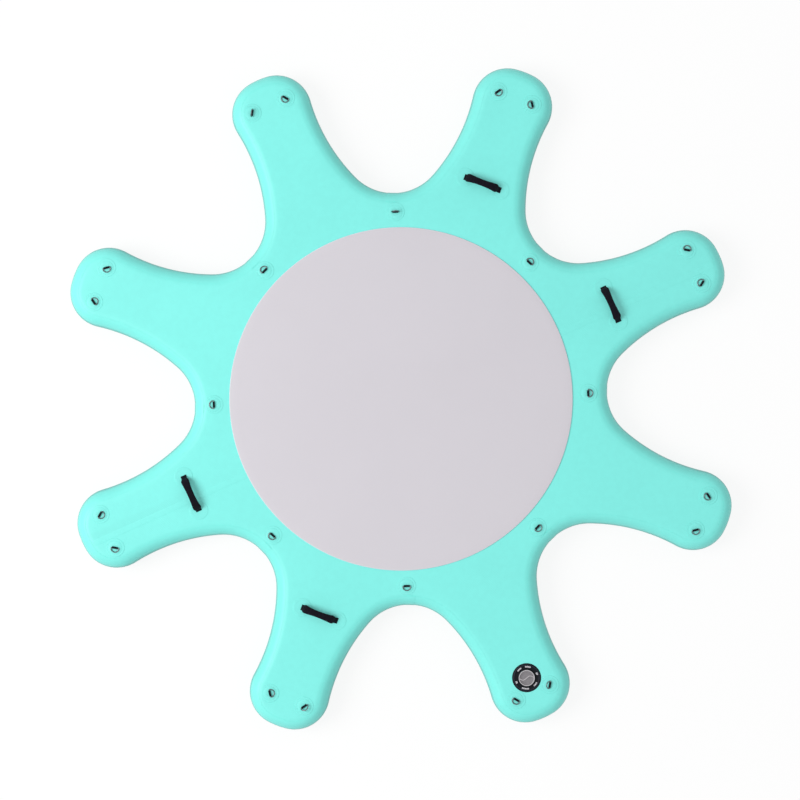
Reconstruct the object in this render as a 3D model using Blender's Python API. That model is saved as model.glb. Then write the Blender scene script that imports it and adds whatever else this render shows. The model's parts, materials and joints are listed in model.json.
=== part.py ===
"""Inflatable yoga platform: a flat star of drop-stitch fabric with eight arms.

Metres, +Z up. The origin is on the ground under the centre of the star.
The gaps between the arms lie on X, on Y and midway between them. Arm 0 points 22.5 degrees from +X
towards +Y, and the arms are counted from it anticlockwise, seen from above.
"""

import math

import bmesh
import bpy
from mathutils import Matrix, Vector

# Star outline, seen from above, at the widest part of the bulging side wall
ARM_COUNT = 8
ARM_REACH = 1.500
TIP_ARC_RADIUS = 0.332
CORNER_RADIUS = 0.149
CORNER_SPREAD = 0.023
GAP_RADIUS = 0.884
GAP_ARC_RADIUS = 0.227
GAP_ARC_HALF_ANGLE = 47.0

# Inflated body
THICKNESS = 0.150
BULGE = 0.045
SKIN = 0.0009
CLOTH = 0.0006
THREADS = 0.0008
THREAD_PITCH = 0.200
THREAD_MARGIN = 0.006
SEAM_TAPE_WIDTH = 0.025
SEAM_TAPE = 0.0005
SEAM_TAPE_END = 0.006
SEAM_MARGIN = 0.0008

# Standing pad
PAD_MARGIN = 0.026
PAD_THICKNESS = 0.005
PAD_EDGE = 0.0015

# Ring patches, their webbing loops and the rings
PATCH_RADIUS = 0.040
PATCH = 0.0009
PATCH_STEP_RADIUS = 0.029
PATCH_STEP = 0.0009
PATCH_EDGE = 0.001
TIP_PATCH_BEARING = 68.0
RING_WIRE = 0.0045
RING_INNER_WIDTH = 0.028
RING_CORNER = 0.003
RING_PLAY = 0.0005
RING_SIDE_PLAY = 0.0015
RING_WEBBING = 0.0018
LEFT_RING_SKEW = -35.0
RIGHT_RING_SKEW = 35.0

# Carry handles, each on an arm, with its covered end on the arm's left for 1 or its right for -1
HANDLES = ((0, 1), (1, 1), (4, 1), (5, -1))
HANDLE_RADIUS = 0.981
HANDLE_HALF_SPAN = 0.076
HANDLE_FOOT = 0.007
HANDLE_RISE = 0.032
HANDLE_ARCH_POWER = 5
HANDLE_WIDTH = 0.025
HANDLE_STRAP = 0.002
GRIP_BARE_LENGTH = 0.010
GRIP_COVERED_GAP = 0.0025
GRIP_SHOULDER = 0.009
GRIP_SIDE = 0.0012
GRIP_FLARE = 0.008
GRIP_END_DEPTH = 0.010
GRIP_WAIST_DEPTH = 0.013
GRIP_FLATNESS = 0.6
GRIP_ROUNDNESS = 0.8

# Inflation valve
VALVE_ARM = 6
VALVE_MARGIN = 0.001
SURROUND_RADIUS = 0.0625
SURROUND = 0.0012
SURROUND_RIDGE_INSET = 0.008
SURROUND_RIDGE_WIDTH = 0.0024
SURROUND_RIDGE = 0.0005
BARREL_RADIUS = 0.027
BARREL_WALL = 0.0035
BARREL_LENGTH = 0.040
FLANGE_WIDTH = 0.0055
FLANGE_LIP = 0.0010
SEAT_DEPTH = 0.022
SEAT = 0.003
SEAT_LEDGE = 0.0075
HUB_WALL = 0.003
SPIDER_WIDTH = 0.004
STEM_RADIUS = 0.003
STEM_BUTTON_RADIUS = 0.0075
STEM_BUTTON = 0.003
STEM_TOP_DROP = 0.004
POPPET_CLEARANCE = 0.003
POPPET = 0.003
SEAL = 0.0015
SPRING_WIRE = 0.0008
SPRING_TURNS = 4
NUT_WALL = 0.010
NUT = 0.009
NUT_NOTCHES = 8
NUT_NOTCH = 0.005
CAP_OVERHANG = 0.002
CAP_HEIGHT = 0.007
CAP_WALL = 0.0022
CAP_PLUG = 0.010
CAP_GRIP_HEIGHT = 0.004
CAP_GRIP_WIDTH = 0.0045
CAP_GRIP_CREST = 0.0025
CAP_GRIP_SWING = 0.0085
CAP_GRIP_STEPS = 16
CAP_RIM = 0.004
LEASH_BAND = 0.0035
LEASH_THICKNESS = 0.0022
LEASH_EAR_WIDTH = 0.0105
SLIDING_FIT = 0.0004

# Gap between pieces that touch, and how far joined shapes sink into each other
FIT = 0.0003
SUNK = 0.0003

# Facets
ARC_SEGMENTS = (1, 3, 2, 3)
WALL_SEGMENTS = 4
PAD_SEGMENTS = 72
PATCH_SEGMENTS = 12
ROUND_SEGMENTS = 24
SMALL_SEGMENTS = 12
WIRE_SIDES = 6
TUNNEL_SIDES = 4
LOOP_SEGMENTS = 4
BOW_SEGMENTS = 6
GRIP_SIDES = 8
GRIP_SEGMENTS = 5
SPRING_SIDES = 4
SPRING_TURN_SEGMENTS = 8

# What follows from the sizes above
HALF_PITCH = math.pi / ARM_COUNT
TOP = THICKNESS
BULGE_RADIUS = ((THICKNESS / 2) ** 2 + BULGE**2) / (2 * BULGE)
SEAM_NORMAL = Vector((-math.sin(HALF_PITCH), math.cos(HALF_PITCH)))
CLOTH_HIGH = TOP - SKIN - FIT
PATCH_TOP = TOP + PATCH
STEP_TOP = PATCH_TOP + PATCH_STEP
RING_HEIGHT = STEP_TOP + RING_WEBBING + RING_PLAY + RING_WIRE / 2
RING_HALF_WIDTH = (RING_INNER_WIDTH + RING_WIRE) / 2
RING_REACH = RING_CORNER + RING_HALF_WIDTH
RING_DROOP = math.degrees(math.asin((RING_HEIGHT - STEP_TOP - RING_WIRE / 2 - FIT) / RING_REACH))
RING_WEBBING_WIDTH = RING_INNER_WIDTH - 2 * RING_SIDE_PLAY
HANDLE_PATCH_REACH = HANDLE_HALF_SPAN + HANDLE_FOOT / 2
GRIP_BARE_END = GRIP_BARE_LENGTH - HANDLE_HALF_SPAN
GRIP_COVERED_END = HANDLE_HALF_SPAN - GRIP_COVERED_GAP
GRIP_WAIST_WIDTH = HANDLE_WIDTH + 2 * GRIP_SIDE

# Valve radii
BORE_RADIUS = BARREL_RADIUS - BARREL_WALL
SEAT_RADIUS = BORE_RADIUS - SEAT_LEDGE
POPPET_RADIUS = BORE_RADIUS - POPPET_CLEARANCE
HUB_RADIUS = STEM_RADIUS + HUB_WALL
SPRING_RADIUS = (STEM_RADIUS + HUB_RADIUS) / 2
FLANGE_RADIUS = BARREL_RADIUS + FLANGE_WIDTH
NUT_RADIUS = BARREL_RADIUS + NUT_WALL
CAP_RADIUS = FLANGE_RADIUS + CAP_OVERHANG

# Valve heights above the upper skin
FLANGE_LOW = SURROUND + 2 * FIT
LEASH_ROOM = LEASH_THICKNESS + 2 * SLIDING_FIT
FLANGE_HIGH = FLANGE_LOW + LEASH_ROOM + FLANGE_LIP
BARREL_END = FLANGE_HIGH - BARREL_LENGTH
SEAT_HIGH = FLANGE_HIGH - SEAT_DEPTH
SEAT_LOW = SEAT_HIGH - SEAT
POPPET_HIGH = SEAT_LOW - FIT - SEAL - FIT
BUTTON_HIGH = FLANGE_HIGH - STEM_TOP_DROP
CAP_LOW = FLANGE_HIGH + FIT
NUT_HIGH = -SKIN - FIT - CLOTH - FIT

# How each ring lies: turned up from its outward side, in degrees, down to RING_DROOP below level
OUTWARD = -RING_DROOP
INWARD = 180 + RING_DROOP
UPRIGHT = 84.0
LEFT_RING_LIFT = (OUTWARD, INWARD, UPRIGHT, INWARD, OUTWARD, 35.0, 140.0, INWARD)
RIGHT_RING_LIFT = (INWARD, INWARD, INWARD, INWARD, INWARD, INWARD, OUTWARD, OUTWARD)
GAP_RING_LIFT = (OUTWARD, OUTWARD, UPRIGHT, OUTWARD, OUTWARD, OUTWARD, OUTWARD, OUTWARD)


def material(name, colour, roughness, metallic=0.0):
    made = bpy.data.materials.new(name)
    made.use_nodes = True
    shader = made.node_tree.nodes["Principled BSDF"]
    shader.inputs["Base Color"].default_value = (*colour, 1.0)
    shader.inputs["Roughness"].default_value = roughness
    shader.inputs["Metallic"].default_value = metallic
    return made


def mesh_from(name, bm):
    """A mesh with its faces pointing out and its round sides shaded smooth."""
    bmesh.ops.recalc_face_normals(bm, faces=bm.faces)
    mesh = bpy.data.meshes.new(name)
    bm.to_mesh(mesh)
    bm.free()
    mesh.shade_smooth()
    mesh.set_sharp_from_angle(angle=math.radians(32))
    return mesh


def place(name, mesh, finish=None, matrix=None, parent=None):
    """One named piece, or a cutter where there is no finish."""
    piece = bpy.data.objects.new(name, mesh)
    bpy.context.scene.collection.objects.link(piece)
    if parent:
        piece.parent = parent
    if matrix:
        piece.matrix_local = matrix
    if finish:
        mesh.materials.clear()
        mesh.materials.append(finish)
    else:
        piece.hide_render = True
        piece.display_type = "WIRE"
    return piece


def empty(name, matrix):
    made = bpy.data.objects.new(name, None)
    bpy.context.scene.collection.objects.link(made)
    made.matrix_local = matrix
    return made


def cut(piece, tool, operation="DIFFERENCE"):
    modifier = piece.modifiers.new(operation.title(), "BOOLEAN")
    modifier.operation = operation
    modifier.object = tool


def cut_by_group(piece, group, operation="DIFFERENCE"):
    modifier = piece.modifiers.new(operation.title(), "BOOLEAN")
    modifier.operation = operation
    modifier.operand_type = "COLLECTION"
    modifier.collection = group


def prism(name, points, low, high):
    """An outline extruded from one height to another."""
    bm = bmesh.new()
    ring = [bm.verts.new((x, y, low)) for x, y in points]
    face = bm.faces.new(ring)
    lifted = bmesh.ops.extrude_face_region(bm, geom=[face])["geom"]
    raised = [v for v in lifted if isinstance(v, bmesh.types.BMVert)]
    bmesh.ops.translate(bm, verts=raised, vec=(0, 0, high - low))
    return mesh_from(name, bm)


def lathe(name, profile, segments):
    """A closed profile of (radius, height) points turned about Z."""
    bm = bmesh.new()
    rings = []
    for radius, height in profile:
        if radius == 0:
            rings.append([bm.verts.new((0, 0, height))] * segments)
            continue
        turn = 2 * math.pi / segments
        rings.append(
            [
                bm.verts.new((radius * math.cos(i * turn), radius * math.sin(i * turn), height))
                for i in range(segments)
            ]
        )
    for ring, following in zip(rings, rings[1:] + rings[:1]):
        for i in range(segments):
            j = (i + 1) % segments
            corners = list(dict.fromkeys((ring[i], ring[j], following[j], following[i])))
            if len(corners) > 2:
                bm.faces.new(corners)
    return mesh_from(name, bm)


def loft(name, sections, closed=False):
    """Sections with equal numbers of points joined in order, round again if closed, else capped."""
    bm = bmesh.new()
    rings = [[bm.verts.new(point) for point in section] for section in sections]
    pairs = list(zip(rings, rings[1:]))
    if closed:
        pairs.append((rings[-1], rings[0]))
    else:
        bm.faces.new(rings[0])
        bm.faces.new(rings[-1])
    for ring, following in pairs:
        for i, corner in enumerate(ring):
            j = (i + 1) % len(ring)
            bm.faces.new((corner, ring[j], following[j], following[i]))
    return mesh_from(name, bm)


def block(name, low, high):
    corners = [(low[0], low[1]), (high[0], low[1]), (high[0], high[1]), (low[0], high[1])]
    return prism(name, corners, low[2], high[2])


def bearing(vector):
    return math.atan2(vector.y, vector.x)


def arm_arcs():
    """The tangent arcs of one side of an arm that points along +X, from its tip to the middle of
    the gap beside it, as (centre, radius, first angle, last angle, is it hollow).

    The tip arc and the corner are round outwards, and the flank and the gap are round inwards.
    The flank's radius is the one that touches both its neighbours.
    """
    gap_axis = Vector((math.cos(HALF_PITCH), math.sin(HALF_PITCH)))
    towards_arm = Vector((math.sin(HALF_PITCH), -math.cos(HALF_PITCH)))
    gap_centre = (GAP_RADIUS + GAP_ARC_RADIUS) * gap_axis
    half_angle = math.radians(GAP_ARC_HALF_ANGLE)
    spoke = math.sin(half_angle) * towards_arm - math.cos(half_angle) * gap_axis
    meeting = gap_centre + GAP_ARC_RADIUS * spoke

    tip_centre = Vector((ARM_REACH - TIP_ARC_RADIUS, 0))
    corner_x = tip_centre.x + math.sqrt((TIP_ARC_RADIUS - CORNER_RADIUS) ** 2 - CORNER_SPREAD**2)
    corner_centre = Vector((corner_x, CORNER_SPREAD))

    across = meeting - corner_centre
    flank_radius = (across.length_squared - CORNER_RADIUS**2) / (
        2 * (CORNER_RADIUS + across.dot(spoke))
    )
    flank_centre = meeting - flank_radius * spoke

    tip_end = bearing(corner_centre - tip_centre)
    corner_end = bearing(flank_centre - corner_centre)
    flank_start = bearing(corner_centre - flank_centre)
    flank_end = bearing(meeting - flank_centre)
    gap_start = bearing(meeting - gap_centre)
    gap_end = bearing(-gap_axis)
    return (
        (tip_centre, TIP_ARC_RADIUS, 0.0, tip_end, False),
        (corner_centre, CORNER_RADIUS, tip_end, corner_end, False),
        (flank_centre, flank_radius, flank_start, flank_end, True),
        (gap_centre, GAP_ARC_RADIUS, gap_start, gap_end, True),
    )


def arm_side(inset):
    """Points from an arm's tip to the middle of the gap, moved in from the outline by inset."""
    points = []
    for (centre, radius, first, last, hollow), segments in zip(arm_arcs(), ARC_SEGMENTS):
        radius += inset if hollow else -inset
        sweep = (last - first + math.pi) % (2 * math.pi) - math.pi
        for i in range(0 if not points else 1, segments + 1):
            angle = first + sweep * i / segments
            points.append(centre + radius * Vector((math.cos(angle), math.sin(angle))))
    return points


def arm_outline(arm, inset):
    """Points from the gap before an arm, round its tip, to the gap after it."""
    side = arm_side(inset)
    both = [Vector((p.x, -p.y)) for p in reversed(side)] + side[1:]
    turn = Matrix.Rotation((2 * arm + 1) * HALF_PITCH, 2)
    return [turn @ p for p in both]


def star_outline(inset):
    return [p for arm in range(ARM_COUNT) for p in arm_outline(arm, inset)[:-1]]


def clipped(points, normal, least):
    """The part of an outline where normal . point >= least. The line crosses the outline twice."""
    kept = []
    for a, b in zip(points, points[1:] + points[:1]):
        here = normal.dot(a) - least
        there = normal.dot(b) - least
        if here >= 0:
            kept.append(a)
        if (here >= 0) != (there >= 0):
            kept.append(a.lerp(b, here / (here - there)))
    return kept


def tip_patch_centre():
    """How far along and across an arm the middle of its left corner patch lies."""
    centre, radius, first, last, _ = arm_arcs()[1]
    facet = (last - first) / ARC_SEGMENTS[1]
    reach = (radius - BULGE) * math.cos(facet / 2) - PATCH_EDGE - PATCH_RADIUS
    angle = math.radians(TIP_PATCH_BEARING)
    return centre + reach * Vector((math.cos(angle), math.sin(angle)))


def gap_patch_reach():
    """How far from the star's centre the middle of a patch at the root of a gap lies."""
    return GAP_RADIUS - BULGE - PATCH_EDGE - PATCH_RADIUS


def seam_offset():
    """The seam lies right of arm 0's axis, with its tape just clear of the patches on that side."""
    patch_side = min(tip_patch_centre().y, HANDLE_PATCH_REACH) - PATCH_RADIUS
    return patch_side - SEAM_MARGIN - SEAM_TAPE_WIDTH / 2


def star_half(side, inset, seam_gap):
    """Half of the star, on the arm 2 side of the seam for side 1 and the other for side -1."""
    return clipped(star_outline(inset), side * SEAM_NORMAL, -side * seam_offset() + seam_gap / 2)


def on_arm(arm, along, across, height, turn=0.0):
    """A place on an arm, with X pointing turn radians left of the arm's own direction."""
    direction = (2 * arm + 1) * HALF_PITCH
    return (
        Matrix.Rotation(direction, 4, "Z")
        @ Matrix.Translation((along, across, height))
        @ Matrix.Rotation(turn, 4, "Z")
    )


def seam_side(matrix):
    """1 or -1 for the half of the star that a place is on."""
    return 1 if SEAM_NORMAL.dot(matrix.translation.to_2d()) > -seam_offset() else -1


def tip_patch_places():
    """Two ring places in the corners of each arm's tip: (name, place, lift)."""
    along, across = tip_patch_centre()
    for arm in range(ARM_COUNT):
        left = on_arm(arm, along, across, 0, math.radians(90 + LEFT_RING_SKEW))
        right = on_arm(arm, along, -across, 0, math.radians(-90 + RIGHT_RING_SKEW))
        yield f"arm_{arm}_left", left, LEFT_RING_LIFT[arm]
        yield f"arm_{arm}_right", right, RIGHT_RING_LIFT[arm]


def gap_patch_places():
    """A ring place at the root of each gap: (name, place, lift)."""
    for gap in range(ARM_COUNT):
        yield f"gap_{gap}", on_arm(gap - 0.5, gap_patch_reach(), 0, 0), GAP_RING_LIFT[gap]


def ring_places():
    return [*tip_patch_places(), *gap_patch_places()]


def ring_anchor_mesh():
    """A round two-step patch and the webbing loop that holds a ring's bar, as one body."""
    patch = lathe(
        "patch",
        [
            (0, TOP - SUNK),
            (PATCH_RADIUS, TOP - SUNK),
            (PATCH_RADIUS, PATCH_TOP),
            (PATCH_STEP_RADIUS, PATCH_TOP),
            (PATCH_STEP_RADIUS, STEP_TOP),
            (0, STEP_TOP),
        ],
        PATCH_SEGMENTS,
    )
    hole = RING_WIRE / 2 + RING_PLAY
    outer = hole + RING_WEBBING
    bow = [math.pi * i / LOOP_SEGMENTS for i in range(LOOP_SEGMENTS + 1)]
    arch = [(outer * math.cos(a), RING_HEIGHT + outer * math.sin(a)) for a in bow]
    arch += [(-outer, STEP_TOP - SUNK), (outer, STEP_TOP - SUNK)]
    corner = hole / math.cos(math.pi / TUNNEL_SIDES)
    turns = [2 * math.pi * (i + 0.5) / TUNNEL_SIDES for i in range(TUNNEL_SIDES)]
    tunnel = [(corner * math.cos(a), RING_HEIGHT + corner * math.sin(a)) for a in turns]

    def across(points, half):
        return [[(x, y, z) for x, z in points] for y in (-half, half)]

    loop = loft("loop", across(arch, RING_WEBBING_WIDTH / 2))
    bore = loft("tunnel", across(tunnel, RING_WEBBING_WIDTH))
    anchor = place("ring_anchor_cutter", patch)
    cut(anchor, place("ring_loop_cutter", loop), "UNION")
    cut(anchor, place("ring_tunnel_cutter", bore))
    return applied(anchor)


def applied(piece):
    """A piece's mesh with its modifiers carried out."""
    graph = bpy.context.evaluated_depsgraph_get()
    return bpy.data.meshes.new_from_object(piece.evaluated_get(graph))


def ring_mesh():
    """A D-shaped ring lying in XY, its bar along Y through the origin and its bow towards +X."""
    straight = RING_HALF_WIDTH - RING_CORNER
    path = [Vector((0, -straight)), Vector((0, straight))]
    bow_centre = Vector((RING_CORNER, 0))
    for i in range(BOW_SEGMENTS + 1):
        angle = math.pi / 2 - math.pi * i / BOW_SEGMENTS
        path.append(bow_centre + RING_HALF_WIDTH * Vector((math.cos(angle), math.sin(angle))))
    sections = []
    for before, point, after in zip(path[-1:] + path[:-1], path, path[1:] + path[:1]):
        leaving = (after - point).normalized()
        arriving = (point - before).normalized()
        along = (leaving + arriving).normalized()
        outward = Vector((-along.y, along.x)) / along.dot(leaving)
        section = []
        for side in range(WIRE_SIDES):
            angle = 2 * math.pi * (side + 0.5) / WIRE_SIDES
            flat = point + outward * RING_WIRE / 2 * math.cos(angle)
            section.append((flat.x, flat.y, RING_WIRE / 2 * math.sin(angle)))
        sections.append(section)
    return loft("d_ring", sections, closed=True)


def make_rings(finish):
    mesh = ring_mesh()
    for name, spot, lift in ring_places():
        axis = Matrix.Translation((0, 0, RING_HEIGHT)) @ spot
        swing = Matrix.Rotation(-math.radians(lift), 4, "Y")
        place(f"d_ring_{name}", mesh, finish, axis @ swing)


def handle_frames():
    """Each handle's own frame: X along the handle to its covered end, Z up from its patches' top."""
    for arm, way in HANDLES:
        yield arm, on_arm(arm, HANDLE_RADIUS, 0, PATCH_TOP + FIT, way * math.pi / 2)


def strap_height(x):
    """The height of the strap's middle above its patches."""
    if abs(x) >= HANDLE_HALF_SPAN:
        return HANDLE_STRAP / 2
    return HANDLE_STRAP / 2 + HANDLE_RISE * (1 - abs(x / HANDLE_HALF_SPAN) ** HANDLE_ARCH_POWER)


def strap_sections(stations, outline):
    """Sections square to the strap's path. outline(x) gives (across, up) points."""
    sections = []
    step = HANDLE_STRAP / 2
    for x in stations:
        slope = (strap_height(x + step) - strap_height(x - step)) / (2 * step)
        up = Vector((-slope, 0, 1)).normalized()
        middle = Vector((x, 0, strap_height(x)))
        sections.append([middle + Vector((0, across, 0)) + up * rise for across, rise in outline(x)])
    return sections


def rectangle(width, depth):
    return [
        (-width / 2, -depth / 2),
        (width / 2, -depth / 2),
        (width / 2, depth / 2),
        (-width / 2, depth / 2),
    ]


def grip_stations():
    """Both ends of the grip, its shoulders, and even steps between them."""
    first = GRIP_BARE_END + GRIP_SHOULDER
    last = GRIP_COVERED_END - GRIP_SHOULDER
    even = [first + (last - first) * i / GRIP_SEGMENTS for i in range(GRIP_SEGMENTS + 1)]
    return [GRIP_BARE_END, *even, GRIP_COVERED_END]


def grip_outline(x):
    """A flattened oval, wide and thin at the shoulders, narrow and fat at the waist between them,
    and gathered to the waist's width at both ends."""
    middle = (GRIP_BARE_END + GRIP_COVERED_END) / 2
    half = (GRIP_COVERED_END - GRIP_BARE_END) / 2 - GRIP_SHOULDER
    off_middle = abs(x - middle)
    towards_shoulder = min(off_middle / half, 1) ** 2
    gathered = max(off_middle - half, 0) / GRIP_SHOULDER
    width = GRIP_WAIST_WIDTH + GRIP_FLARE * (towards_shoulder - gathered)
    depth = GRIP_WAIST_DEPTH + (GRIP_END_DEPTH - GRIP_WAIST_DEPTH) * towards_shoulder
    points = []
    for i in range(GRIP_SIDES):
        angle = 2 * math.pi * (i + 0.5) / GRIP_SIDES
        across = math.copysign(abs(math.cos(angle)) ** GRIP_FLATNESS, math.cos(angle))
        rise = math.copysign(abs(math.sin(angle)) ** GRIP_ROUNDNESS, math.sin(angle))
        points.append((width / 2 * across, depth / 2 * rise))
    return points


def arch_stations():
    """Where the strap has a section. It shares the grip's, so that the two bend at the same places."""
    return [-HANDLE_HALF_SPAN, *grip_stations(), HANDLE_HALF_SPAN]


def strap_mesh():
    end = HANDLE_HALF_SPAN + HANDLE_FOOT
    strap = rectangle(HANDLE_WIDTH, HANDLE_STRAP)
    return loft("handle_strap", strap_sections([-end, *arch_stations(), end], lambda x: strap))


def grip_mesh():
    grip = place("grip_cutter", loft("grip", strap_sections(grip_stations(), grip_outline)))
    room = rectangle(HANDLE_WIDTH + 2 * FIT, HANDLE_STRAP + 2 * FIT)
    bore = loft("grip_bore", strap_sections(arch_stations(), lambda x: room))
    cut(grip, place("grip_bore_cutter", bore))
    return applied(grip)


def make_handles(strap_finish, grip_finish):
    strap = strap_mesh()
    grip = grip_mesh()
    for arm, frame in handle_frames():
        place(f"handle_strap_{arm}", strap, strap_finish, frame)
        place(f"handle_grip_{arm}", grip, grip_finish, frame)


def handle_patch_places():
    for arm, _ in HANDLES:
        for side in (-1, 1):
            yield on_arm(arm, HANDLE_RADIUS, side * HANDLE_PATCH_REACH, 0)


def valve_frame():
    """The valve's place: as near the tip as its surround can lie beside the two patches there."""
    along, across = tip_patch_centre()
    apart = SURROUND_RADIUS + PATCH_RADIUS + VALVE_MARGIN
    back = math.sqrt(max(0, apart**2 - across**2))
    return on_arm(VALVE_ARM, along - back, 0, TOP)


def make_valve_hole():
    """The cutter for the barrel's hole through the upper skin and the cloth under it."""
    radius = BARREL_RADIUS + FIT
    profile = [(0, -BARREL_LENGTH), (radius, -BARREL_LENGTH), (radius, BARREL_LENGTH), (0, BARREL_LENGTH)]
    hole = lathe("valve_hole", profile, ROUND_SEGMENTS)
    return place("valve_hole_cutter", hole, matrix=valve_frame())


def make_skins(finish, valve_hole):
    """Upper and lower sheets, each in two panels that meet at the seam. The upper ones carry the
    glued patches and webbing loops."""
    anchor = ring_anchor_mesh()
    disc = lathe(
        "handle_patch",
        [(0, TOP - SUNK), (PATCH_RADIUS, TOP - SUNK), (PATCH_RADIUS, PATCH_TOP), (0, PATCH_TOP)],
        PATCH_SEGMENTS,
    )
    for label, side in (("a", 1), ("b", -1)):
        flat = star_half(side, BULGE, FIT)
        lower = prism(f"lower_skin_{label}", flat, 0, SKIN)
        place(f"lower_skin_{label}", lower, finish)
        upper = prism(f"upper_skin_{label}", flat, TOP - SKIN, TOP)
        skin = place(f"upper_skin_{label}", upper, finish)
        carried = bpy.data.collections.new(f"patches_{label}")
        for name, spot, _ in ring_places():
            if seam_side(spot) == side:
                carried.objects.link(place(f"patch_{name}_cutter", anchor, matrix=spot))
        for number, spot in enumerate(handle_patch_places()):
            if seam_side(spot) == side:
                carried.objects.link(place(f"handle_patch_{number}_cutter", disc, matrix=spot))
        cut_by_group(skin, carried, "UNION")
        if seam_side(valve_frame()) == side:
            cut(skin, valve_hole)


def wall_section():
    """The side wall's section as (inset, height) points: down its outside and up its inside."""
    inner_radius = BULGE_RADIUS - SKIN
    edge = BULGE_RADIUS - BULGE + FIT
    section = []
    for radius, direction in ((BULGE_RADIUS, -1), (inner_radius, 1)):
        end = math.acos(edge / radius)
        for i in range(WALL_SEGMENTS + 1):
            angle = direction * end * (2 * i / WALL_SEGMENTS - 1)
            inset = BULGE_RADIUS - radius * math.cos(angle)
            section.append((inset, THICKNESS / 2 + radius * math.sin(angle)))
    return section


def make_side_walls(finish):
    """One strip of side wall round each arm, from gap to gap, butted to the strips beside it."""
    for arm in range(ARM_COUNT):
        rails = []
        for inset, height in wall_section():
            rail = arm_outline(arm, inset)
            ends = ((0, 1), (-1, -2))
            for end, neighbour in ends:
                rail[end] = rail[end] + (rail[neighbour] - rail[end]).normalized() * FIT / 2
            rails.append([(p.x, p.y, height) for p in rail])
        place(f"side_wall_{arm}", loft(f"side_wall_{arm}", list(zip(*rails))), finish)


def make_base_cloths(finish, valve_hole):
    """The woven cloths that back the upper skin, one under each panel."""
    for label, side in (("a", 1), ("b", -1)):
        outline = star_half(side, BULGE, FIT)
        sheet = prism(f"base_cloth_{label}", outline, CLOTH_HIGH - CLOTH, CLOTH_HIGH)
        cloth = place(f"base_cloth_{label}", sheet, finish)
        if seam_side(valve_frame()) == side:
            cut(cloth, valve_hole)


def thread_fold(label, side, low, high, first):
    """The drop threads' course from the lower sheet to the base cloth and back, as one folded web
    that runs along the seam."""
    rows = math.ceil(ARM_REACH / THREAD_PITCH)
    course = []
    for i in range(2 * rows + 1):
        course.append((side * (first + i * THREAD_PITCH / 2), low if i % 2 else high - THREADS))
    outline = [*course, *((across, height + THREADS) for across, height in reversed(course))]
    reach = 2 * ARM_REACH
    fold = loft(f"thread_fold_{label}", [[(x, y, z) for y, z in outline] for x in (-reach, reach)])
    fold.transform(Matrix.Rotation(HALF_PITCH, 4, "Z"))
    return fold


def make_threads(finish):
    """The drop threads that hold the sheets apart. The valve's barrel and nut have a clear well."""
    low = SKIN + FIT
    high = CLOTH_HIGH - CLOTH - FIT
    radius = NUT_RADIUS + THREAD_MARGIN
    profile = [(0, -THICKNESS), (radius, -THICKNESS), (radius, FIT), (0, FIT)]
    well = lathe("valve_well", profile, ROUND_SEGMENTS)
    valve_well = place("valve_well_cutter", well, matrix=valve_frame())
    slot = SEAM_TAPE_WIDTH + 2 * FIT
    for label, side in (("a", 1), ("b", -1)):
        first = slot / 2 - side * seam_offset()
        threads = place(f"drop_threads_{label}", thread_fold(label, side, low, high, first), finish)
        outline = star_half(side, BULGE + THREAD_MARGIN, slot)
        room = place(f"thread_room_{label}_cutter", prism(f"thread_room_{label}", outline, 0, TOP))
        cut(threads, room, "INTERSECT")
        if seam_side(valve_frame()) == side:
            cut(threads, valve_well)


def seam_block(name, half_width, half_length, low, high):
    """A straight bar along the seam."""
    mesh = block(name, (-half_length, -half_width, low), (half_length, half_width, high))
    mesh.transform(Matrix.Rotation(HALF_PITCH, 4, "Z") @ Matrix.Translation((0, -seam_offset(), 0)))
    return mesh


def make_seam_tapes(finish):
    reach = ARM_REACH - BULGE - SEAM_TAPE_END
    half = SEAM_TAPE_WIDTH / 2
    above = TOP + FIT
    upper = seam_block("upper_seam_tape", half, reach, above, above + SEAM_TAPE)
    place("upper_seam_tape", upper, finish)
    within = SKIN + FIT
    lower = seam_block("lower_seam_tape", half, reach, within, within + SEAM_TAPE)
    place("lower_seam_tape", lower, finish)


def make_pad(finish):
    """The round foam pad that fills the space inside the gap patches, with a shallow channel
    underneath where it lies over the seam tape."""
    low = TOP + FIT
    high = low + PAD_THICKNESS
    radius = gap_patch_reach() - PATCH_RADIUS - PAD_MARGIN
    profile = [(0, low), (radius, low), (radius, high - PAD_EDGE), (radius - PAD_EDGE, high), (0, high)]
    pad = place("deck_pad", lathe("deck_pad", profile, PAD_SEGMENTS), finish)
    channel_top = low + SEAM_TAPE + FIT
    half = SEAM_TAPE_WIDTH / 2 + FIT
    channel = seam_block("pad_channel", half, ARM_REACH, TOP, channel_top)
    cut(pad, place("pad_channel_cutter", channel))


def valve_surround_mesh():
    """The flat ring round the flange, with a raised ridge near its rim."""
    inner = BARREL_RADIUS + FIT
    low = FIT
    high = low + SURROUND
    edge = SURROUND / 2
    ridge = SURROUND_RADIUS - SURROUND_RIDGE_INSET
    foot = SURROUND_RIDGE_WIDTH / 2
    crest = foot / 2
    return lathe(
        "valve_surround",
        [
            (inner, low),
            (SURROUND_RADIUS, low),
            (SURROUND_RADIUS, high - edge),
            (SURROUND_RADIUS - edge, high),
            (ridge + foot, high),
            (ridge + crest, high + SURROUND_RIDGE),
            (ridge - crest, high + SURROUND_RIDGE),
            (ridge - foot, high),
            (inner, high),
        ],
        ROUND_SEGMENTS,
    )


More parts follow.
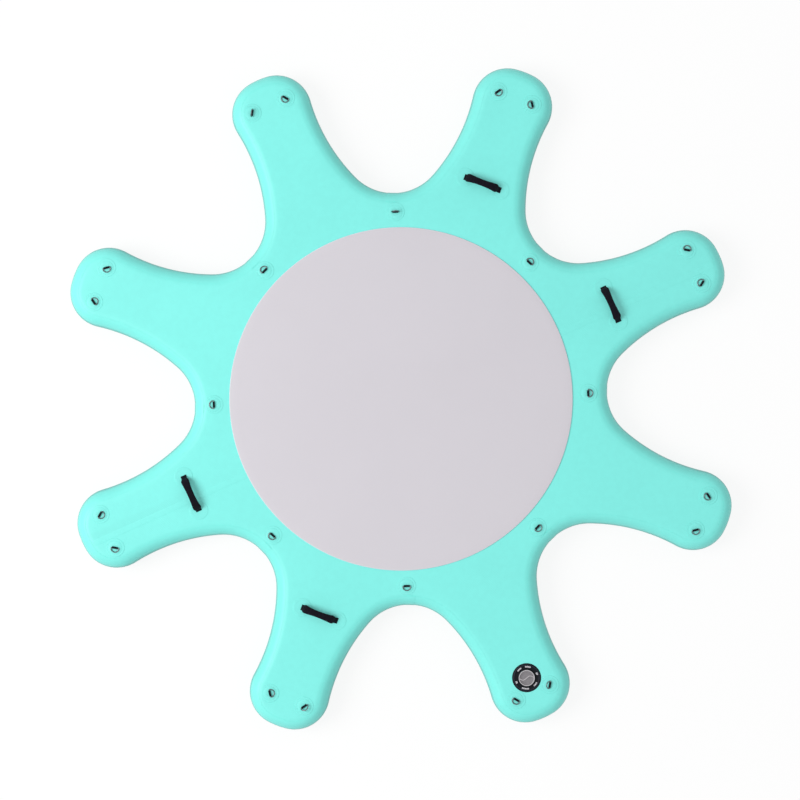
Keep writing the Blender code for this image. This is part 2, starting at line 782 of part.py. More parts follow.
def valve_body_mesh():
    """The flange on the patch, the barrel through the skin, the seat and the stem's guide."""
    neck = FLANGE_RADIUS - LEASH_BAND
    shell = lathe(
        "valve_body",
        [
            (BORE_RADIUS, FLANGE_HIGH),
            (BORE_RADIUS, SEAT_HIGH),
            (SEAT_RADIUS, SEAT_HIGH),
            (SEAT_RADIUS, SEAT_LOW),
            (BORE_RADIUS, SEAT_LOW),
            (BORE_RADIUS, BARREL_END),
            (BARREL_RADIUS, BARREL_END),
            (BARREL_RADIUS, FLANGE_LOW),
            (neck, FLANGE_LOW),
            (neck, FLANGE_LOW + LEASH_ROOM),
            (FLANGE_RADIUS, FLANGE_LOW + LEASH_ROOM),
            (FLANGE_RADIUS, FLANGE_HIGH),
        ],
        ROUND_SEGMENTS,
    )
    body = place("valve_shell_cutter", shell)
    reach = SEAT_RADIUS + SUNK
    half = SPIDER_WIDTH / 2
    for number in range(2):
        arms = block(f"spider_{number}", (-reach, -half, SEAT_LOW), (reach, half, SEAT_HIGH))
        turned = Matrix.Rotation(number * math.pi / 2, 4, "Z")
        cut(body, place(f"spider_{number}_cutter", arms, matrix=turned), "UNION")
    hub = lathe(
        "hub",
        [(0, SEAT_LOW), (HUB_RADIUS, SEAT_LOW), (HUB_RADIUS, SEAT_HIGH), (0, SEAT_HIGH)],
        SMALL_SEGMENTS,
    )
    cut(body, place("hub_cutter", hub), "UNION")
    guide = STEM_RADIUS + SLIDING_FIT
    below = SEAT_LOW - SEAT
    above = SEAT_HIGH + SEAT
    bored = lathe("guide", [(0, below), (guide, below), (guide, above), (0, above)], SMALL_SEGMENTS)
    cut(body, place("guide_cutter", bored))
    return applied(body)


def valve_stem_mesh():
    """Push button, rod and poppet in one moulding."""
    return lathe(
        "valve_stem",
        [
            (0, POPPET_HIGH - POPPET),
            (POPPET_RADIUS, POPPET_HIGH - POPPET),
            (POPPET_RADIUS, POPPET_HIGH),
            (STEM_RADIUS, POPPET_HIGH),
            (STEM_RADIUS, BUTTON_HIGH - STEM_BUTTON),
            (STEM_BUTTON_RADIUS, BUTTON_HIGH - STEM_BUTTON),
            (STEM_BUTTON_RADIUS, BUTTON_HIGH),
            (0, BUTTON_HIGH),
        ],
        SMALL_SEGMENTS,
    )


def valve_seal_mesh():
    inner = SEAT_RADIUS - SEAL
    low = POPPET_HIGH + FIT
    return lathe(
        "valve_seal",
        [
            (inner, low),
            (POPPET_RADIUS - FIT, low),
            (POPPET_RADIUS - FIT, low + SEAL),
            (inner, low + SEAL),
        ],
        ROUND_SEGMENTS,
    )


def valve_spring_mesh():
    """A round wire wound between the guide's hub and the push button."""
    low = SEAT_HIGH + FIT + SPRING_WIRE / 2
    high = BUTTON_HIGH - STEM_BUTTON - FIT - SPRING_WIRE / 2
    steps = SPRING_TURNS * SPRING_TURN_SEGMENTS
    upward = Vector((0, 0, SPRING_WIRE / 2))
    sections = []
    for i in range(steps + 1):
        angle = 2 * math.pi * i / SPRING_TURN_SEGMENTS
        direction = Vector((math.cos(angle), math.sin(angle), 0))
        middle = direction * SPRING_RADIUS + Vector((0, 0, low + (high - low) * i / steps))
        outward = direction * SPRING_WIRE / 2
        turns = [2 * math.pi * side / SPRING_SIDES for side in range(SPRING_SIDES)]
        sections.append([middle + math.cos(turn) * outward + math.sin(turn) * upward for turn in turns])
    return loft("valve_spring", sections)


def valve_nut_mesh():
    """The notched ring screwed up the barrel from inside, against the base cloth."""
    low = NUT_HIGH - NUT
    inner = BARREL_RADIUS + FIT
    profile = [(inner, low), (NUT_RADIUS, low), (NUT_RADIUS, NUT_HIGH), (inner, NUT_HIGH)]
    nut = place("valve_nut_cutter", lathe("valve_nut", profile, ROUND_SEGMENTS))
    notches = bpy.data.collections.new("nut_notches")
    for number in range(NUT_NOTCHES):
        notch = block(
            f"notch_{number}",
            (NUT_RADIUS - NUT_NOTCH, -NUT_NOTCH / 2, low - NUT),
            (NUT_RADIUS + NUT_NOTCH, NUT_NOTCH / 2, NUT_HIGH - NUT_NOTCH / 2),
        )
        turned = Matrix.Rotation(2 * math.pi * (number + 0.5) / NUT_NOTCHES, 4, "Z")
        notches.objects.link(place(f"notch_{number}_cutter", notch, matrix=turned))
    cut_by_group(nut, notches)
    return applied(nut)


def finger_wall_mesh(floor):
    """The S-shaped wall across the dish of the cap, its ends buried in the rim."""
    reach = CAP_RADIUS - CAP_RIM + CAP_GRIP_WIDTH / 2
    low = Vector((0, 0, floor - SUNK))
    high = Vector((0, 0, floor + CAP_GRIP_HEIGHT))
    sections = []
    for step in range(CAP_GRIP_STEPS + 1):
        share = 2 * step / CAP_GRIP_STEPS - 1
        middle = Vector((share * reach, CAP_GRIP_SWING * math.sin(math.pi * share), 0))
        slope = CAP_GRIP_SWING * math.pi * math.cos(math.pi * share) / reach
        side = Vector((-slope, 1, 0)).normalized()
        foot = side * CAP_GRIP_WIDTH / 2
        crest = side * CAP_GRIP_CREST / 2
        sections.append(
            [middle + low - foot, middle + low + foot, middle + high + crest, middle + high - crest]
        )
    return loft("finger_wall", sections)


def valve_cap_mesh():
    """A dished cap with a raised rim, an S-shaped finger wall and a plug skirt underneath."""
    plug = BORE_RADIUS - SLIDING_FIT
    floor = CAP_LOW + CAP_WALL
    shell = lathe(
        "valve_cap",
        [
            (0, CAP_LOW),
            (plug - CAP_WALL, CAP_LOW),
            (plug - CAP_WALL, CAP_LOW - CAP_PLUG),
            (plug, CAP_LOW - CAP_PLUG),
            (plug, CAP_LOW),
            (CAP_RADIUS, CAP_LOW),
            (CAP_RADIUS, CAP_LOW + CAP_HEIGHT - CAP_WALL / 2),
            (CAP_RADIUS - CAP_WALL / 2, CAP_LOW + CAP_HEIGHT),
            (CAP_RADIUS - CAP_RIM, CAP_LOW + CAP_HEIGHT),
            (CAP_RADIUS - CAP_RIM - CAP_WALL / 2, floor),
            (0, floor),
        ],
        ROUND_SEGMENTS,
    )
    cap = place("valve_cap_cutter", shell)
    cut(cap, place("finger_wall_cutter", finger_wall_mesh(floor)), "UNION")
    return applied(cap)


def cap_leash_mesh():
    """The flat ring under the flange that turns with the cap, with its ear beside the cap."""
    inner = FLANGE_RADIUS - LEASH_BAND + SLIDING_FIT
    outer = CAP_RADIUS + LEASH_BAND
    low = FLANGE_LOW + SLIDING_FIT
    high = low + LEASH_THICKNESS
    ring = lathe("cap_leash", [(inner, low), (outer, low), (outer, high), (inner, high)], ROUND_SEGMENTS)
    leash = place("leash_cutter", ring)
    half = LEASH_EAR_WIDTH / 2
    ear = block(
        "leash_ear",
        (CAP_RADIUS + FIT, -half, high - SUNK),
        (outer - SUNK, half, CAP_LOW + CAP_HEIGHT / 2),
    )
    cut(leash, place("leash_ear_cutter", ear), "UNION")
    return applied(leash)


def make_valve(black_skin, grey_plastic, white_plastic, steel, rubber):
    """The push-stem inflation valve in its patch, with its cap on. Each piece stands in the
    valve's own frame, whose Z is the axis that the cap turns about and the stem slides along."""
    frame = empty("valve_axis", valve_frame())
    place("valve_surround", valve_surround_mesh(), black_skin, parent=frame)
    place("valve_body", valve_body_mesh(), grey_plastic, parent=frame)
    place("valve_nut", valve_nut_mesh(), grey_plastic, parent=frame)
    place("valve_stem", valve_stem_mesh(), white_plastic, parent=frame)
    place("valve_spring", valve_spring_mesh(), steel, parent=frame)
    place("valve_seal", valve_seal_mesh(), rubber, parent=frame)
    place("valve_cap", valve_cap_mesh(), grey_plastic, parent=frame)
    place("cap_leash", cap_leash_mesh(), rubber, parent=frame)


def main():
    for old in list(bpy.data.objects):
        bpy.data.objects.remove(old, do_unlink=True)
    turquoise = material("turquoise_skin", (0.24, 0.91, 0.83), 0.45)
    black_skin = material("black_skin", (0.008, 0.008, 0.012), 0.45)
    webbing = material("black_webbing", (0.009, 0.009, 0.012), 0.85)
    foam_cover = material("black_foam_cover", (0.012, 0.011, 0.014), 0.9)
    cloth = material("white_base_cloth", (0.75, 0.76, 0.75), 0.9)
    foam = material("grey_foam", (0.67, 0.65, 0.69), 0.85)
    steel = material("polished_steel", (0.62, 0.63, 0.65), 0.2, 1.0)
    grey_plastic = material("grey_plastic", (0.33, 0.32, 0.33), 0.5)
    white_plastic = material("white_plastic", (0.8, 0.8, 0.78), 0.45)
    rubber = material("black_rubber", (0.02, 0.02, 0.02), 0.7)
    valve_hole = make_valve_hole()
    make_skins(turquoise, valve_hole)
    make_side_walls(turquoise)
    make_seam_tapes(turquoise)
    make_base_cloths(cloth, valve_hole)
    make_threads(cloth)
    make_pad(foam)
    make_rings(steel)
    make_handles(webbing, foam_cover)
    make_valve(black_skin, grey_plastic, white_plastic, steel, rubber)


main()
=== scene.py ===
import json
import math

import bmesh
import bpy
from mathutils import Matrix, Vector, noise
from mathutils.bvhtree import BVHTree
from mathutils.geometry import delaunay_2d_cdt
from mathutils.kdtree import KDTree


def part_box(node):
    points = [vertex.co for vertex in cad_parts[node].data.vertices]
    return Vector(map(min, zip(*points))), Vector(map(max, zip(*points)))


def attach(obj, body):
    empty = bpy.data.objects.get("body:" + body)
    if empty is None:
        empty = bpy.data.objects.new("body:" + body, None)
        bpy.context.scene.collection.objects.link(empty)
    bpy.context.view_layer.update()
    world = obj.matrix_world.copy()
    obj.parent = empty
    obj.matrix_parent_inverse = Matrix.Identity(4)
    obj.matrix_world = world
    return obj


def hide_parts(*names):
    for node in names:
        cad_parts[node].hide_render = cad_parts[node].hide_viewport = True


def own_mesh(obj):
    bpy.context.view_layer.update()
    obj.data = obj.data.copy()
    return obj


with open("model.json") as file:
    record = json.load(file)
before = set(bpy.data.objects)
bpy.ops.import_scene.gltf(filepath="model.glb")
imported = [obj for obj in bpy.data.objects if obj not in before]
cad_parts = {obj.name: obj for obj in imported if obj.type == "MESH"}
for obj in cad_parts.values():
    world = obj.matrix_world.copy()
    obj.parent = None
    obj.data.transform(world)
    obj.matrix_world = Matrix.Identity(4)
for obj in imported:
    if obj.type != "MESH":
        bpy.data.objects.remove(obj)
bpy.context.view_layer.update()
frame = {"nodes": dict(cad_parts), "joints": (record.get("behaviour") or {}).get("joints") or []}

# Star outline from above, where the bulging side is widest: the CAD's own driving sizes
ARM_COUNT = 8
ARM_REACH = 1.500
TIP_ARC_RADIUS = 0.332
CORNER_RADIUS = 0.149
CORNER_SPREAD = 0.023
GAP_RADIUS = 0.884
GAP_ARC_RADIUS = 0.227
GAP_ARC_HALF_ANGLE = math.radians(47.0)
HALF_PITCH = math.pi / ARM_COUNT
OUTLINE_SPACING = 0.013

# Inflated body, and the well in it round the valve's barrel
TOP = 0.150
BOTTOM = 0.0008
EDGE = 0.060
EDGE_STEPS = 26
FILL_SPACING = 0.030
FILL_MARGIN = 0.62 * FILL_SPACING
WELL_SEGMENTS = 72
WELL_MOUTH = 0.0275
WELL_RADIUS = 0.0430
WELL_DEPTH = 0.046
WELL_LIP = 0.0018

# Ripples in the top, and the room round each fitting that stays flat
RIPPLE = 0.00056
RIPPLE_SCALE = 5.0
RIPPLE_EASE = 0.08
PAD_ROOM = 0.02
VALVE_ROOM = 0.075
RING_ROOM = 0.050
HANDLE_ROOM = 0.125

# Side bands, welded round the edge
BAND = 0.0009
BAND_EDGE = 0.0003
BAND_INSET = 0.043
BAND_STEPS = 26
BAND_FEATHER = 0.006
BAND_LAP = 0.030
BAND_LAP_RAMP = 0.010
SKIN_GAP = 0.0002

# Seam tapes, and where across a tape its points lie
TAPE = 0.0005
TAPE_WIDTH = 0.025
TAPE_REACH = 1.449
TAPE_SPACING = 0.012
TAPE_FEATHER = 0.002
TAPE_COLUMNS = (-1, -0.94, -0.82, -0.4, 0.0, 0.4, 0.82, 0.94, 1)
GLUE_GAP = 0.0001
SEAM_NORMAL = Vector((-math.sin(HALF_PITCH), math.cos(HALF_PITCH)))

# Glued patches, webbing loops and rings
PATCH = 0.0009
PATCH_RADIUS = 0.040
PATCH_STEP = 0.0009
PATCH_STEP_RADIUS = 0.029
PATCH_BEVEL = 0.0007
PATCH_SEGMENTS = 72
RING_WIRE = 0.0045
RING_INNER_WIDTH = 0.028
RING_CORNER = 0.003
RING_SIDES = 18
LOOP_WIDTH = 0.025
LOOP_THICKNESS = 0.0018
LOOP_PLAY = 0.0005
LOOP_SUNK = 0.0003
RING_JOINTS = [joint for joint in frame["joints"] if joint["name"].startswith("d_ring_")]
RING_HEIGHT = RING_JOINTS[0]["pos_m"][2]

# Carry handles: the strap, its padded sleeve and the sleeve's stitches
HANDLE_ARMS = (0, 1, 4, 5)
HANDLE_HALF_SPAN = 0.076
HANDLE_FOOT = 0.007
HANDLE_RISE = 0.032
HANDLE_ARCH_POWER = 5
HANDLE_WIDTH = 0.025
HANDLE_STRAP = 0.002
HANDLE_STATIONS = 60
HANDLE_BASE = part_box("handle_strap_0")[0].z
GRIP_FIRST = 0.010 - HANDLE_HALF_SPAN
GRIP_LAST = HANDLE_HALF_SPAN - 0.0025
GRIP_SHOULDER = 0.009
GRIP_SIDE = 0.0012
GRIP_FLARE = 0.008
GRIP_END_DEPTH = 0.010
GRIP_WAIST_DEPTH = 0.013
GRIP_FLATNESS = 0.6
GRIP_ROUNDNESS = 0.8
GRIP_STATIONS = 44
GRIP_SIDES = 36
GRIP_PLAY = 0.0012
GRIP_LIP = 0.0010
STITCH_LENGTH = 0.0024
STITCH_WIDTH = 0.00055
STITCH_HEIGHT = 0.00045
STITCH_SIDES = 6
STITCH_STATIONS = ((-0.5, 0.25), (-0.35, 0.9), (0.0, 1.0), (0.35, 0.9), (0.5, 0.25))
ROW_STITCHES = 8
ROW_PITCH = 0.0036
ROW_INSET = 0.0045
ROW_MARGIN = 0.003
SEAM_STITCHES = 32
SEAM_INSET = 0.010

# Standing pad
PAD_EDGE = 0.0034
PAD_SEGMENTS = 360
PAD_HOLLOW = 0.0009
PAD_SEAM_ROOM = 0.006

# Valve surround and its dial marks, which come in groups of (bearing, count, length)
SURROUND_BORE = 0.0273
SURROUND_LIP = (0.0385, 0.0409)
SURROUND_RIDGE = 0.0005
SURROUND_RIDGE_INSET = 0.008
MARK_GROUPS = ((82, 7, 0.0060), (20, 3, 0.0080), (322, 6, 0.0060),
               (262, 9, 0.0060), (203, 3, 0.0080), (130, 6, 0.0060))
MARK_RADIUS = 0.0470
MARK_WIDTH = 0.0022
MARK_PITCH = 4.2
MARK_THICKNESS = 0.00008

# Valve cap and leash
CAP_DEPTH = 0.0070
CAP_WALL = 0.0022
CAP_RIM_WIDTH = 0.0040
CAP_PLUG_RADIUS = 0.0231
CAP_STEP_RADIUS = 0.0215
CAP_RIBS = 54
CAP_RIB_DEPTH = 0.0007
FINGER_WALL = 0.0045
FINGER_WALL_HEIGHT = 0.0038
FINGER_WALL_SWING = 0.0085
FINGER_WALL_STEPS = 48
FINGER_WALL_SECTION = ((-0.50, -0.4), (-0.44, 0.3), (-0.37, 0.8), (-0.24, 1.0),
                       (0.24, 1.0), (0.37, 0.8), (0.44, 0.3), (0.50, -0.4))
LEASH_BORE = 0.0294
LEASH_BAND = 0.0022
LEASH_BEVEL = 0.0005
EAR_WIDTH = 0.0105
EAR_DEPTH = 0.0030
EAR_SUNK = 0.0006
EAR_STEPS = 8

# Valve body, stem, seal and spring
BARREL_RADIUS = 0.027
BORE_RADIUS = 0.0235
FLANGE_RADIUS = 0.0325
FLANGE_NECK = 0.029
FLANGE_ROOM = (0.0018, 0.0048)
SEAT_RADIUS = 0.016
SEAT_HEIGHTS = (-0.0192, -0.0162)
HUB_RADIUS = 0.006
GUIDE_RADIUS = 0.0034
SPIDER_WIDTH = 0.004
STEM_RADIUS = 0.003
BUTTON_RADIUS = 0.0075
BUTTON = 0.003
POPPET_RADIUS = 0.0205
POPPET = 0.003
SEAL_INNER = 0.0145
SEAL_OUTER = 0.0202
NUT_BEVEL = 0.0004
SPRING_WIRE = 0.0008
SPRING_TURNS = 4
SPRING_TURN_STEPS = 32
SPRING_SIDES = 10

# Photograph: its width in pixels and in metres, where the star's centre lies in it, and its turn
IMAGE_PIXELS = 800
METRES_PER_PIXEL = 0.004295
CENTRE_PIXEL = (401.0, 398.9)
OBJECT_TURN = math.radians(1.75)
CAMERA_HEIGHT = 9.0
OUTLINE_HEIGHT = 0.085

# Floor and light: pairs are values near the object and far from it
FLOOR_SIZE = 60
FLOOR_GREY = 0.55
FLOOR_DISTANCES = (2.5, 8.0)
FLOOR_GLOW = (1.154, 1.0)
FLOOR_GLOW_SHARE = (0.75, 1.0)
WORLD_LEVEL = 0.60
LAMP_PLACE = (-7.2, -0.2, 7.6)
LAMP_SIZE = 6.5
LAMP_POWER = 626.0

# Colours, linear
TURQUOISE = (0.232, 0.890, 0.815)
BLACK = (0.0046, 0.0056, 0.0085)
GRIP_BLACK = (0.0058, 0.0048, 0.0092)
THREAD_BLACK = (0.016, 0.014, 0.020)
RUBBER_BLACK = (0.0044, 0.0060, 0.0095)
STEEL = (0.155, 0.186, 0.193)
PAD_GREY = (0.672, 0.644, 0.690)
CAP_GREY = (0.22, 0.208, 0.222)
CAP_LIGHT_GREY = (0.53, 0.505, 0.525)
STEM_WHITE = (0.78, 0.78, 0.76)
PRINT_WHITE = (0.80, 0.79, 0.83)

# Height limits of the painted shade belt round the side, and how much it darkens; the same for the
# painted shade band along the seam, by its distance left of arm 0's axis and by where it fades out
# along arm 4
SIDE_SHADE_BOTTOM = (0.032, 0.052)
SIDE_SHADE_TOP = (0.098, 0.118)
SIDE_PAINTED_SHADE = 0.34
SEAM_SHADE_LINE = -0.010
SEAM_SHADE_SIDES = (0.018, 0.036)
SEAM_SHADE_ENDS = (-1.05, -0.72)
SEAM_SHADE_HEIGHTS = (0.140, 0.149)
SEAM_PAINTED_SHADE = 0.032
THREAD_PITCH = 0.0105
FABRIC_GRAIN = 1400.0


def unit(angle):
    return Vector((math.cos(angle), math.sin(angle)))


def spread(first, last, steps):
    """Values from first to last in equal steps."""
    return [first + (last - first) * i / steps for i in range(steps + 1)]


def mean(points):
    return sum(points[1:], points[0]) / len(points)


def outline_arcs():
    """The tangent arcs of one side of an arm that points along +X, from its tip to the middle of
    the gap beside it, as (centre, radius, first angle, sweep, is it hollow)."""
    gap_centre = (GAP_RADIUS + GAP_ARC_RADIUS) * unit(HALF_PITCH)
    spoke = -unit(HALF_PITCH + GAP_ARC_HALF_ANGLE)
    meeting = gap_centre + GAP_ARC_RADIUS * spoke
    tip_centre = Vector((ARM_REACH - TIP_ARC_RADIUS, 0))
    corner_x = tip_centre.x + math.sqrt((TIP_ARC_RADIUS - CORNER_RADIUS) ** 2 - CORNER_SPREAD**2)
    corner_centre = Vector((corner_x, CORNER_SPREAD))
    across = meeting - corner_centre
    flank_radius = (across.length_squared - CORNER_RADIUS**2) / (
        2 * (CORNER_RADIUS + across.dot(spoke))
    )
    flank_centre = meeting - flank_radius * spoke

    def bearing(vector):
        return math.atan2(vector.y, vector.x)

    tip_end = bearing(corner_centre - tip_centre)
    arcs = []
    for centre, radius, first, last, hollow in (
        (tip_centre, TIP_ARC_RADIUS, 0.0, tip_end, False),
        (corner_centre, CORNER_RADIUS, tip_end, bearing(flank_centre - corner_centre), False),
        (flank_centre, flank_radius, bearing(corner_centre - flank_centre),
         bearing(meeting - flank_centre), True),
        (gap_centre, GAP_ARC_RADIUS, bearing(meeting - gap_centre), HALF_PITCH - math.pi, True),
    ):
        sweep = (last - first + math.pi) % (2 * math.pi) - math.pi
        arcs.append((centre, radius, first, sweep, hollow))
    return arcs


ARCS = outline_arcs()


def arm_samples():
    """Samples of an arm's outline from the gap before it, round its tip, to the gap after it, as
    (side, arc, share of the arc)."""
    half = [(0, 0.0)]
    for number, (_, radius, _, sweep, _) in enumerate(ARCS):
        steps = math.ceil(abs(radius * sweep) / OUTLINE_SPACING)
        half += [(number, i / steps) for i in range(1, steps + 1)]
    return [(-1, *sample) for sample in half[::-1]] + [(1, *sample) for sample in half[1:]]


ARM_SAMPLES = arm_samples()


def outline_point(arm, sample, inset):
    """A point of the star, moved in from the outline by inset."""
    side, number, share = sample
    centre, radius, first, sweep, hollow = ARCS[number]
    radius += inset if hollow else -inset
    p = centre + radius * unit(first + sweep * share)
    return Matrix.Rotation((2 * arm + 1) * HALF_PITCH, 2) @ Vector((p.x, side * p.y))


def edge_point(angle, lift):
    """Inset and height of a point on the rounded edge, at an angle above its widest line, lifted
    off the surface."""
    half = (TOP - BOTTOM) / 2
    out, up = math.cos(angle) / EDGE, math.sin(angle) / half
    size = math.hypot(out, up)
    inset = EDGE * (1 - math.cos(angle)) - lift * out / size
    height = (TOP + BOTTOM) / 2 + half * math.sin(angle) + lift * up / size
    return inset, height


def box_centre(node):
    low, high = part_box(node)
    return (low + high) / 2


VALVE_CENTRE = Vector((*box_centre("valve_surround").to_2d(), TOP))


def linked(name, data):
    thing = bpy.data.objects.new(name, data)
    bpy.context.scene.collection.objects.link(thing)
    return thing


def new_piece(name, mesh, material, body="root", matrix=None, replaced=(), sharp=60):
    """A shown piece with its material, on its CAD body."""
    mesh.name = name
    mesh.materials.clear()
    mesh.materials.append(material)
    mesh.shade_smooth()
    mesh.set_sharp_from_angle(angle=math.radians(sharp))
    piece = linked(name, mesh)
    if matrix:
        piece.matrix_world = matrix
    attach(piece, body)
    if replaced:
        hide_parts(*replaced)
    return piece


def mesh_from(points, faces):
    """A mesh with its normals out and no loose points."""
    mesh = bpy.data.meshes.new("mesh")
    mesh.from_pydata([tuple(p) for p in points], [], faces)
    bm = bmesh.new()
    bm.from_mesh(mesh)
    bmesh.ops.delete(bm, geom=[v for v in bm.verts if not v.link_faces])
    bmesh.ops.recalc_face_normals(bm, faces=bm.faces)
    bm.to_mesh(mesh)
    bm.free()
    return mesh


def circle(count):
    return [unit(2 * math.pi * i / count) for i in range(count)]


def strips(rows, closed=False):
    """Quads between each loop of point numbers and the next, and from the last to the first if
    closed."""
    faces = []
    for here, there in zip(rows, rows[1:] + rows[:1] if closed else rows[1:]):
        for i in range(len(here)):
            j = (i + 1) % len(here)
            faces.append((here[i], here[j], there[j], there[i]))
    return faces


def loft(*solids, closed=False):
    """Solids in one mesh, each of closed sections with equal numbers of points joined in order,
    round again if closed, else capped."""
    points, faces = [], []
    for sections in solids:
        rows = []
        for section in sections:
            rows.append(range(len(points), len(points) + len(section)))
            points += section
        faces += strips(rows, closed)
        if not closed:
            faces += [tuple(rows[0]), tuple(rows[-1])]
    return mesh_from(points, faces)


def lathe(profile, segments, surface=None):
    """A closed profile of (radius, height) points turned about Z. With a surface, heights count
    from it: surface(x, y) is its height in the piece's own frame."""
    points, rings = [], []
    for radius, height in profile:
        start = len(points)
        rings.append(range(start, start + segments) if radius else [start] * segments)
        for spoke in circle(segments) if radius else [Vector((0, 0))]:
            x, y = radius * spoke
            points.append((x, y, height + (surface(x, y) if surface else 0)))
    faces = [tuple(dict.fromkeys(face)) for face in strips(rings, closed=True)]
    return mesh_from(points, [face for face in faces if len(face) > 2])


def rounded_box(width, depth, corner):
    """A rectangle's outline with round corners, as (across, up) points."""
    points = []
    for quarter, (sx, sy) in enumerate(((1, 1), (-1, 1), (-1, -1), (1, -1))):
        for turn in spread(quarter, quarter + 1, 3):
            across, up = corner * unit(math.pi / 2 * turn)
            points.append((sx * (width / 2 - corner) + across, sy * (depth / 2 - corner) + up))
    return points


def strip_section(middle, up, outline):
    """An outline of (across, up) points set across a strip that runs in the XZ plane."""
    return [middle + Vector((0, across, 0)) + up * rise for across, rise in outline]


def wire_section(middle, out, wire, sides):
    """A round section of a wire that lies about level, with out pointing level across it."""
    return [middle + (out * p.x + Vector((0, 0, p.y))) * wire / 2 for p in circle(sides)]


def distances(line):
    """How far along a line of points each one lies."""
    run = [0.0]
    for p, q in zip(line, line[1:]):
        run.append(run[-1] + (q - p).length)
    return run


class Nodes:
    """A new material and short calls for its nodes."""

    def __init__(self, name, colour, roughness, specular=0.5, metallic=0.0, sheen=0.0):
        self.material = bpy.data.materials.new(name)
        self.material.use_nodes = True
        self.tree = self.material.node_tree
        self.shader = self.tree.nodes["Principled BSDF"]
        self.colour = colour
        for socket, value in (
            ("Base Color", (*colour, 1.0)), ("Roughness", roughness), ("Metallic", metallic),
            ("Specular IOR Level", specular), ("Sheen Weight", sheen),
        ):
            self.feed(self.shader.inputs[socket], value)
        self.place = self.tree.nodes.new("ShaderNodeTexCoord").outputs["Object"]

    def feed(self, socket, value):
        if isinstance(value, bpy.types.NodeSocket):
            self.tree.links.new(value, socket)
        else:
            socket.default_value = value

    def add(self, kind, inputs, **settings):
        node = self.tree.nodes.new(kind)
        for setting, value in settings.items():
            setattr(node, setting, value)
        for socket, value in inputs.items():
            self.feed(node.inputs[socket], value)
        return node

    def math(self, operation, *values):
        return self.add("ShaderNodeMath", dict(enumerate(values)), operation=operation).outputs[0]

    def product(self, first, *others):
        for value in others:
            first = self.math("MULTIPLY", first, value)
        return first

    def without(self, value, share=1.0):
        """1 less a share of value."""
        return self.math("SUBTRACT", 1.0, self.product(value, share))

    def gap(self, value, middle):
        """How far value is from middle."""
        return self.math("ABSOLUTE", self.math("SUBTRACT", value, middle))

    def noise(self, scale, detail=2.0, place=None):
        inputs = {"Vector": place or self.place, "Scale": scale, "Detail": detail}
        return self.add("ShaderNodeTexNoise", inputs).outputs["Fac"]

    def cells(self, scale):
        inputs = {"Vector": self.place, "Scale": scale}
        return self.add("ShaderNodeTexVoronoi", inputs).outputs["Distance"]

    def axes(self):
        return self.add("ShaderNodeSeparateXYZ", {"Vector": self.place}).outputs

    def radius(self):
        """The distance from the piece's Z axis."""
        x, y, _ = self.axes()
        return self.math("SQRT", self.math("ADD", self.product(x, x), self.product(y, y)))

    def wave(self, coordinate, pitch):
        """A sine of a coordinate, from -1 to 1."""
        return self.math("SINE", self.product(coordinate, 2 * math.pi / pitch))

    def span(self, value, low, high, first=0.0, last=1.0):
        """A smooth step of value from low to high, as first to last."""
        inputs = {"Value": value, "From Min": low, "From Max": high}
        inputs.update({"To Min": first, "To Max": last})
        return self.add("ShaderNodeMapRange", inputs, interpolation_type="SMOOTHSTEP").outputs[0]

    def mottle(self, scale, first, last, detail=3.0):
        """Soft blotches from first to last."""
        return self.span(self.noise(scale, detail), 0.3, 0.7, first, last)

    def shade(self, *values):
        """The base colour times the values, all over."""
        inputs = {"Vector": tuple(self.colour), "Scale": self.product(*values)}
        scaled = self.add("ShaderNodeVectorMath", inputs, operation="SCALE").outputs["Vector"]
        self.feed(self.shader.inputs["Base Color"], scaled)

    def rough(self, value, low, high):
        level = self.add("ShaderNodeMapRange", {"Value": value, "To Min": low, "To Max": high})
        self.feed(self.shader.inputs["Roughness"], level.outputs[0])

    def bump(self, *layers):
        """Relief from (height, metres) layers, each a height from about 0 to 1."""
        normal = None
        for height, depth in layers:
            inputs = {"Height": height, "Distance": depth, "Strength": 1.0}
            if normal:
                inputs["Normal"] = normal
            normal = self.add("ShaderNodeBump", inputs).outputs["Normal"]
        self.feed(self.shader.inputs["Normal"], normal)


def skin_material(name, panels):
    """Coated fabric with a fine grain, and a belt of painted shade round the middle of its side. The
    big panels show the dimples of the drop threads, and a soft band of painted shade under arm 4,
    over the seam where the skins overlap and tilt."""
    nodes = Nodes(name, TURQUOISE, 0.42, 0.36)
    x, y, z = nodes.axes()
    # Painted shade: the middle of the side is darkened as if it lay in shadow
    side_painted_shade = nodes.product(nodes.span(z, *SIDE_SHADE_TOP, 1.0, 0.0), nodes.span(z, *SIDE_SHADE_BOTTOM))
    shades = [nodes.mottle(2.2, 0.985, 1.015), nodes.mottle(38.0, 0.990, 1.010, 2.0),
              nodes.without(side_painted_shade, SIDE_PAINTED_SHADE)]
    layers = [(nodes.noise(FABRIC_GRAIN, 3.0), 0.00007)]
    if panels:
        across = nodes.math(
            "ADD", nodes.product(x, SEAM_NORMAL.x), nodes.product(y, SEAM_NORMAL.y)
        )
        # Painted shade: a soft darker band along the seam, standing in for the shading of the skins'
        # tilted overlap
        seam_painted_shade = nodes.product(
            nodes.span(nodes.gap(across, SEAM_SHADE_LINE), *SEAM_SHADE_SIDES, 1.0, 0.0),
            nodes.span(x, *SEAM_SHADE_ENDS, 1.0, 0.0), nodes.span(z, *SEAM_SHADE_HEIGHTS),
        )
        shades.append(nodes.without(seam_painted_shade, SEAM_PAINTED_SHADE))
        threads = nodes.product(nodes.wave(x, THREAD_PITCH), nodes.wave(y, THREAD_PITCH))
        layers.append((threads, 0.00006))
    nodes.shade(*shades)
    nodes.rough(nodes.noise(9.0, 3.0), 0.36, 0.50)
    nodes.bump(*layers)
    return nodes.material


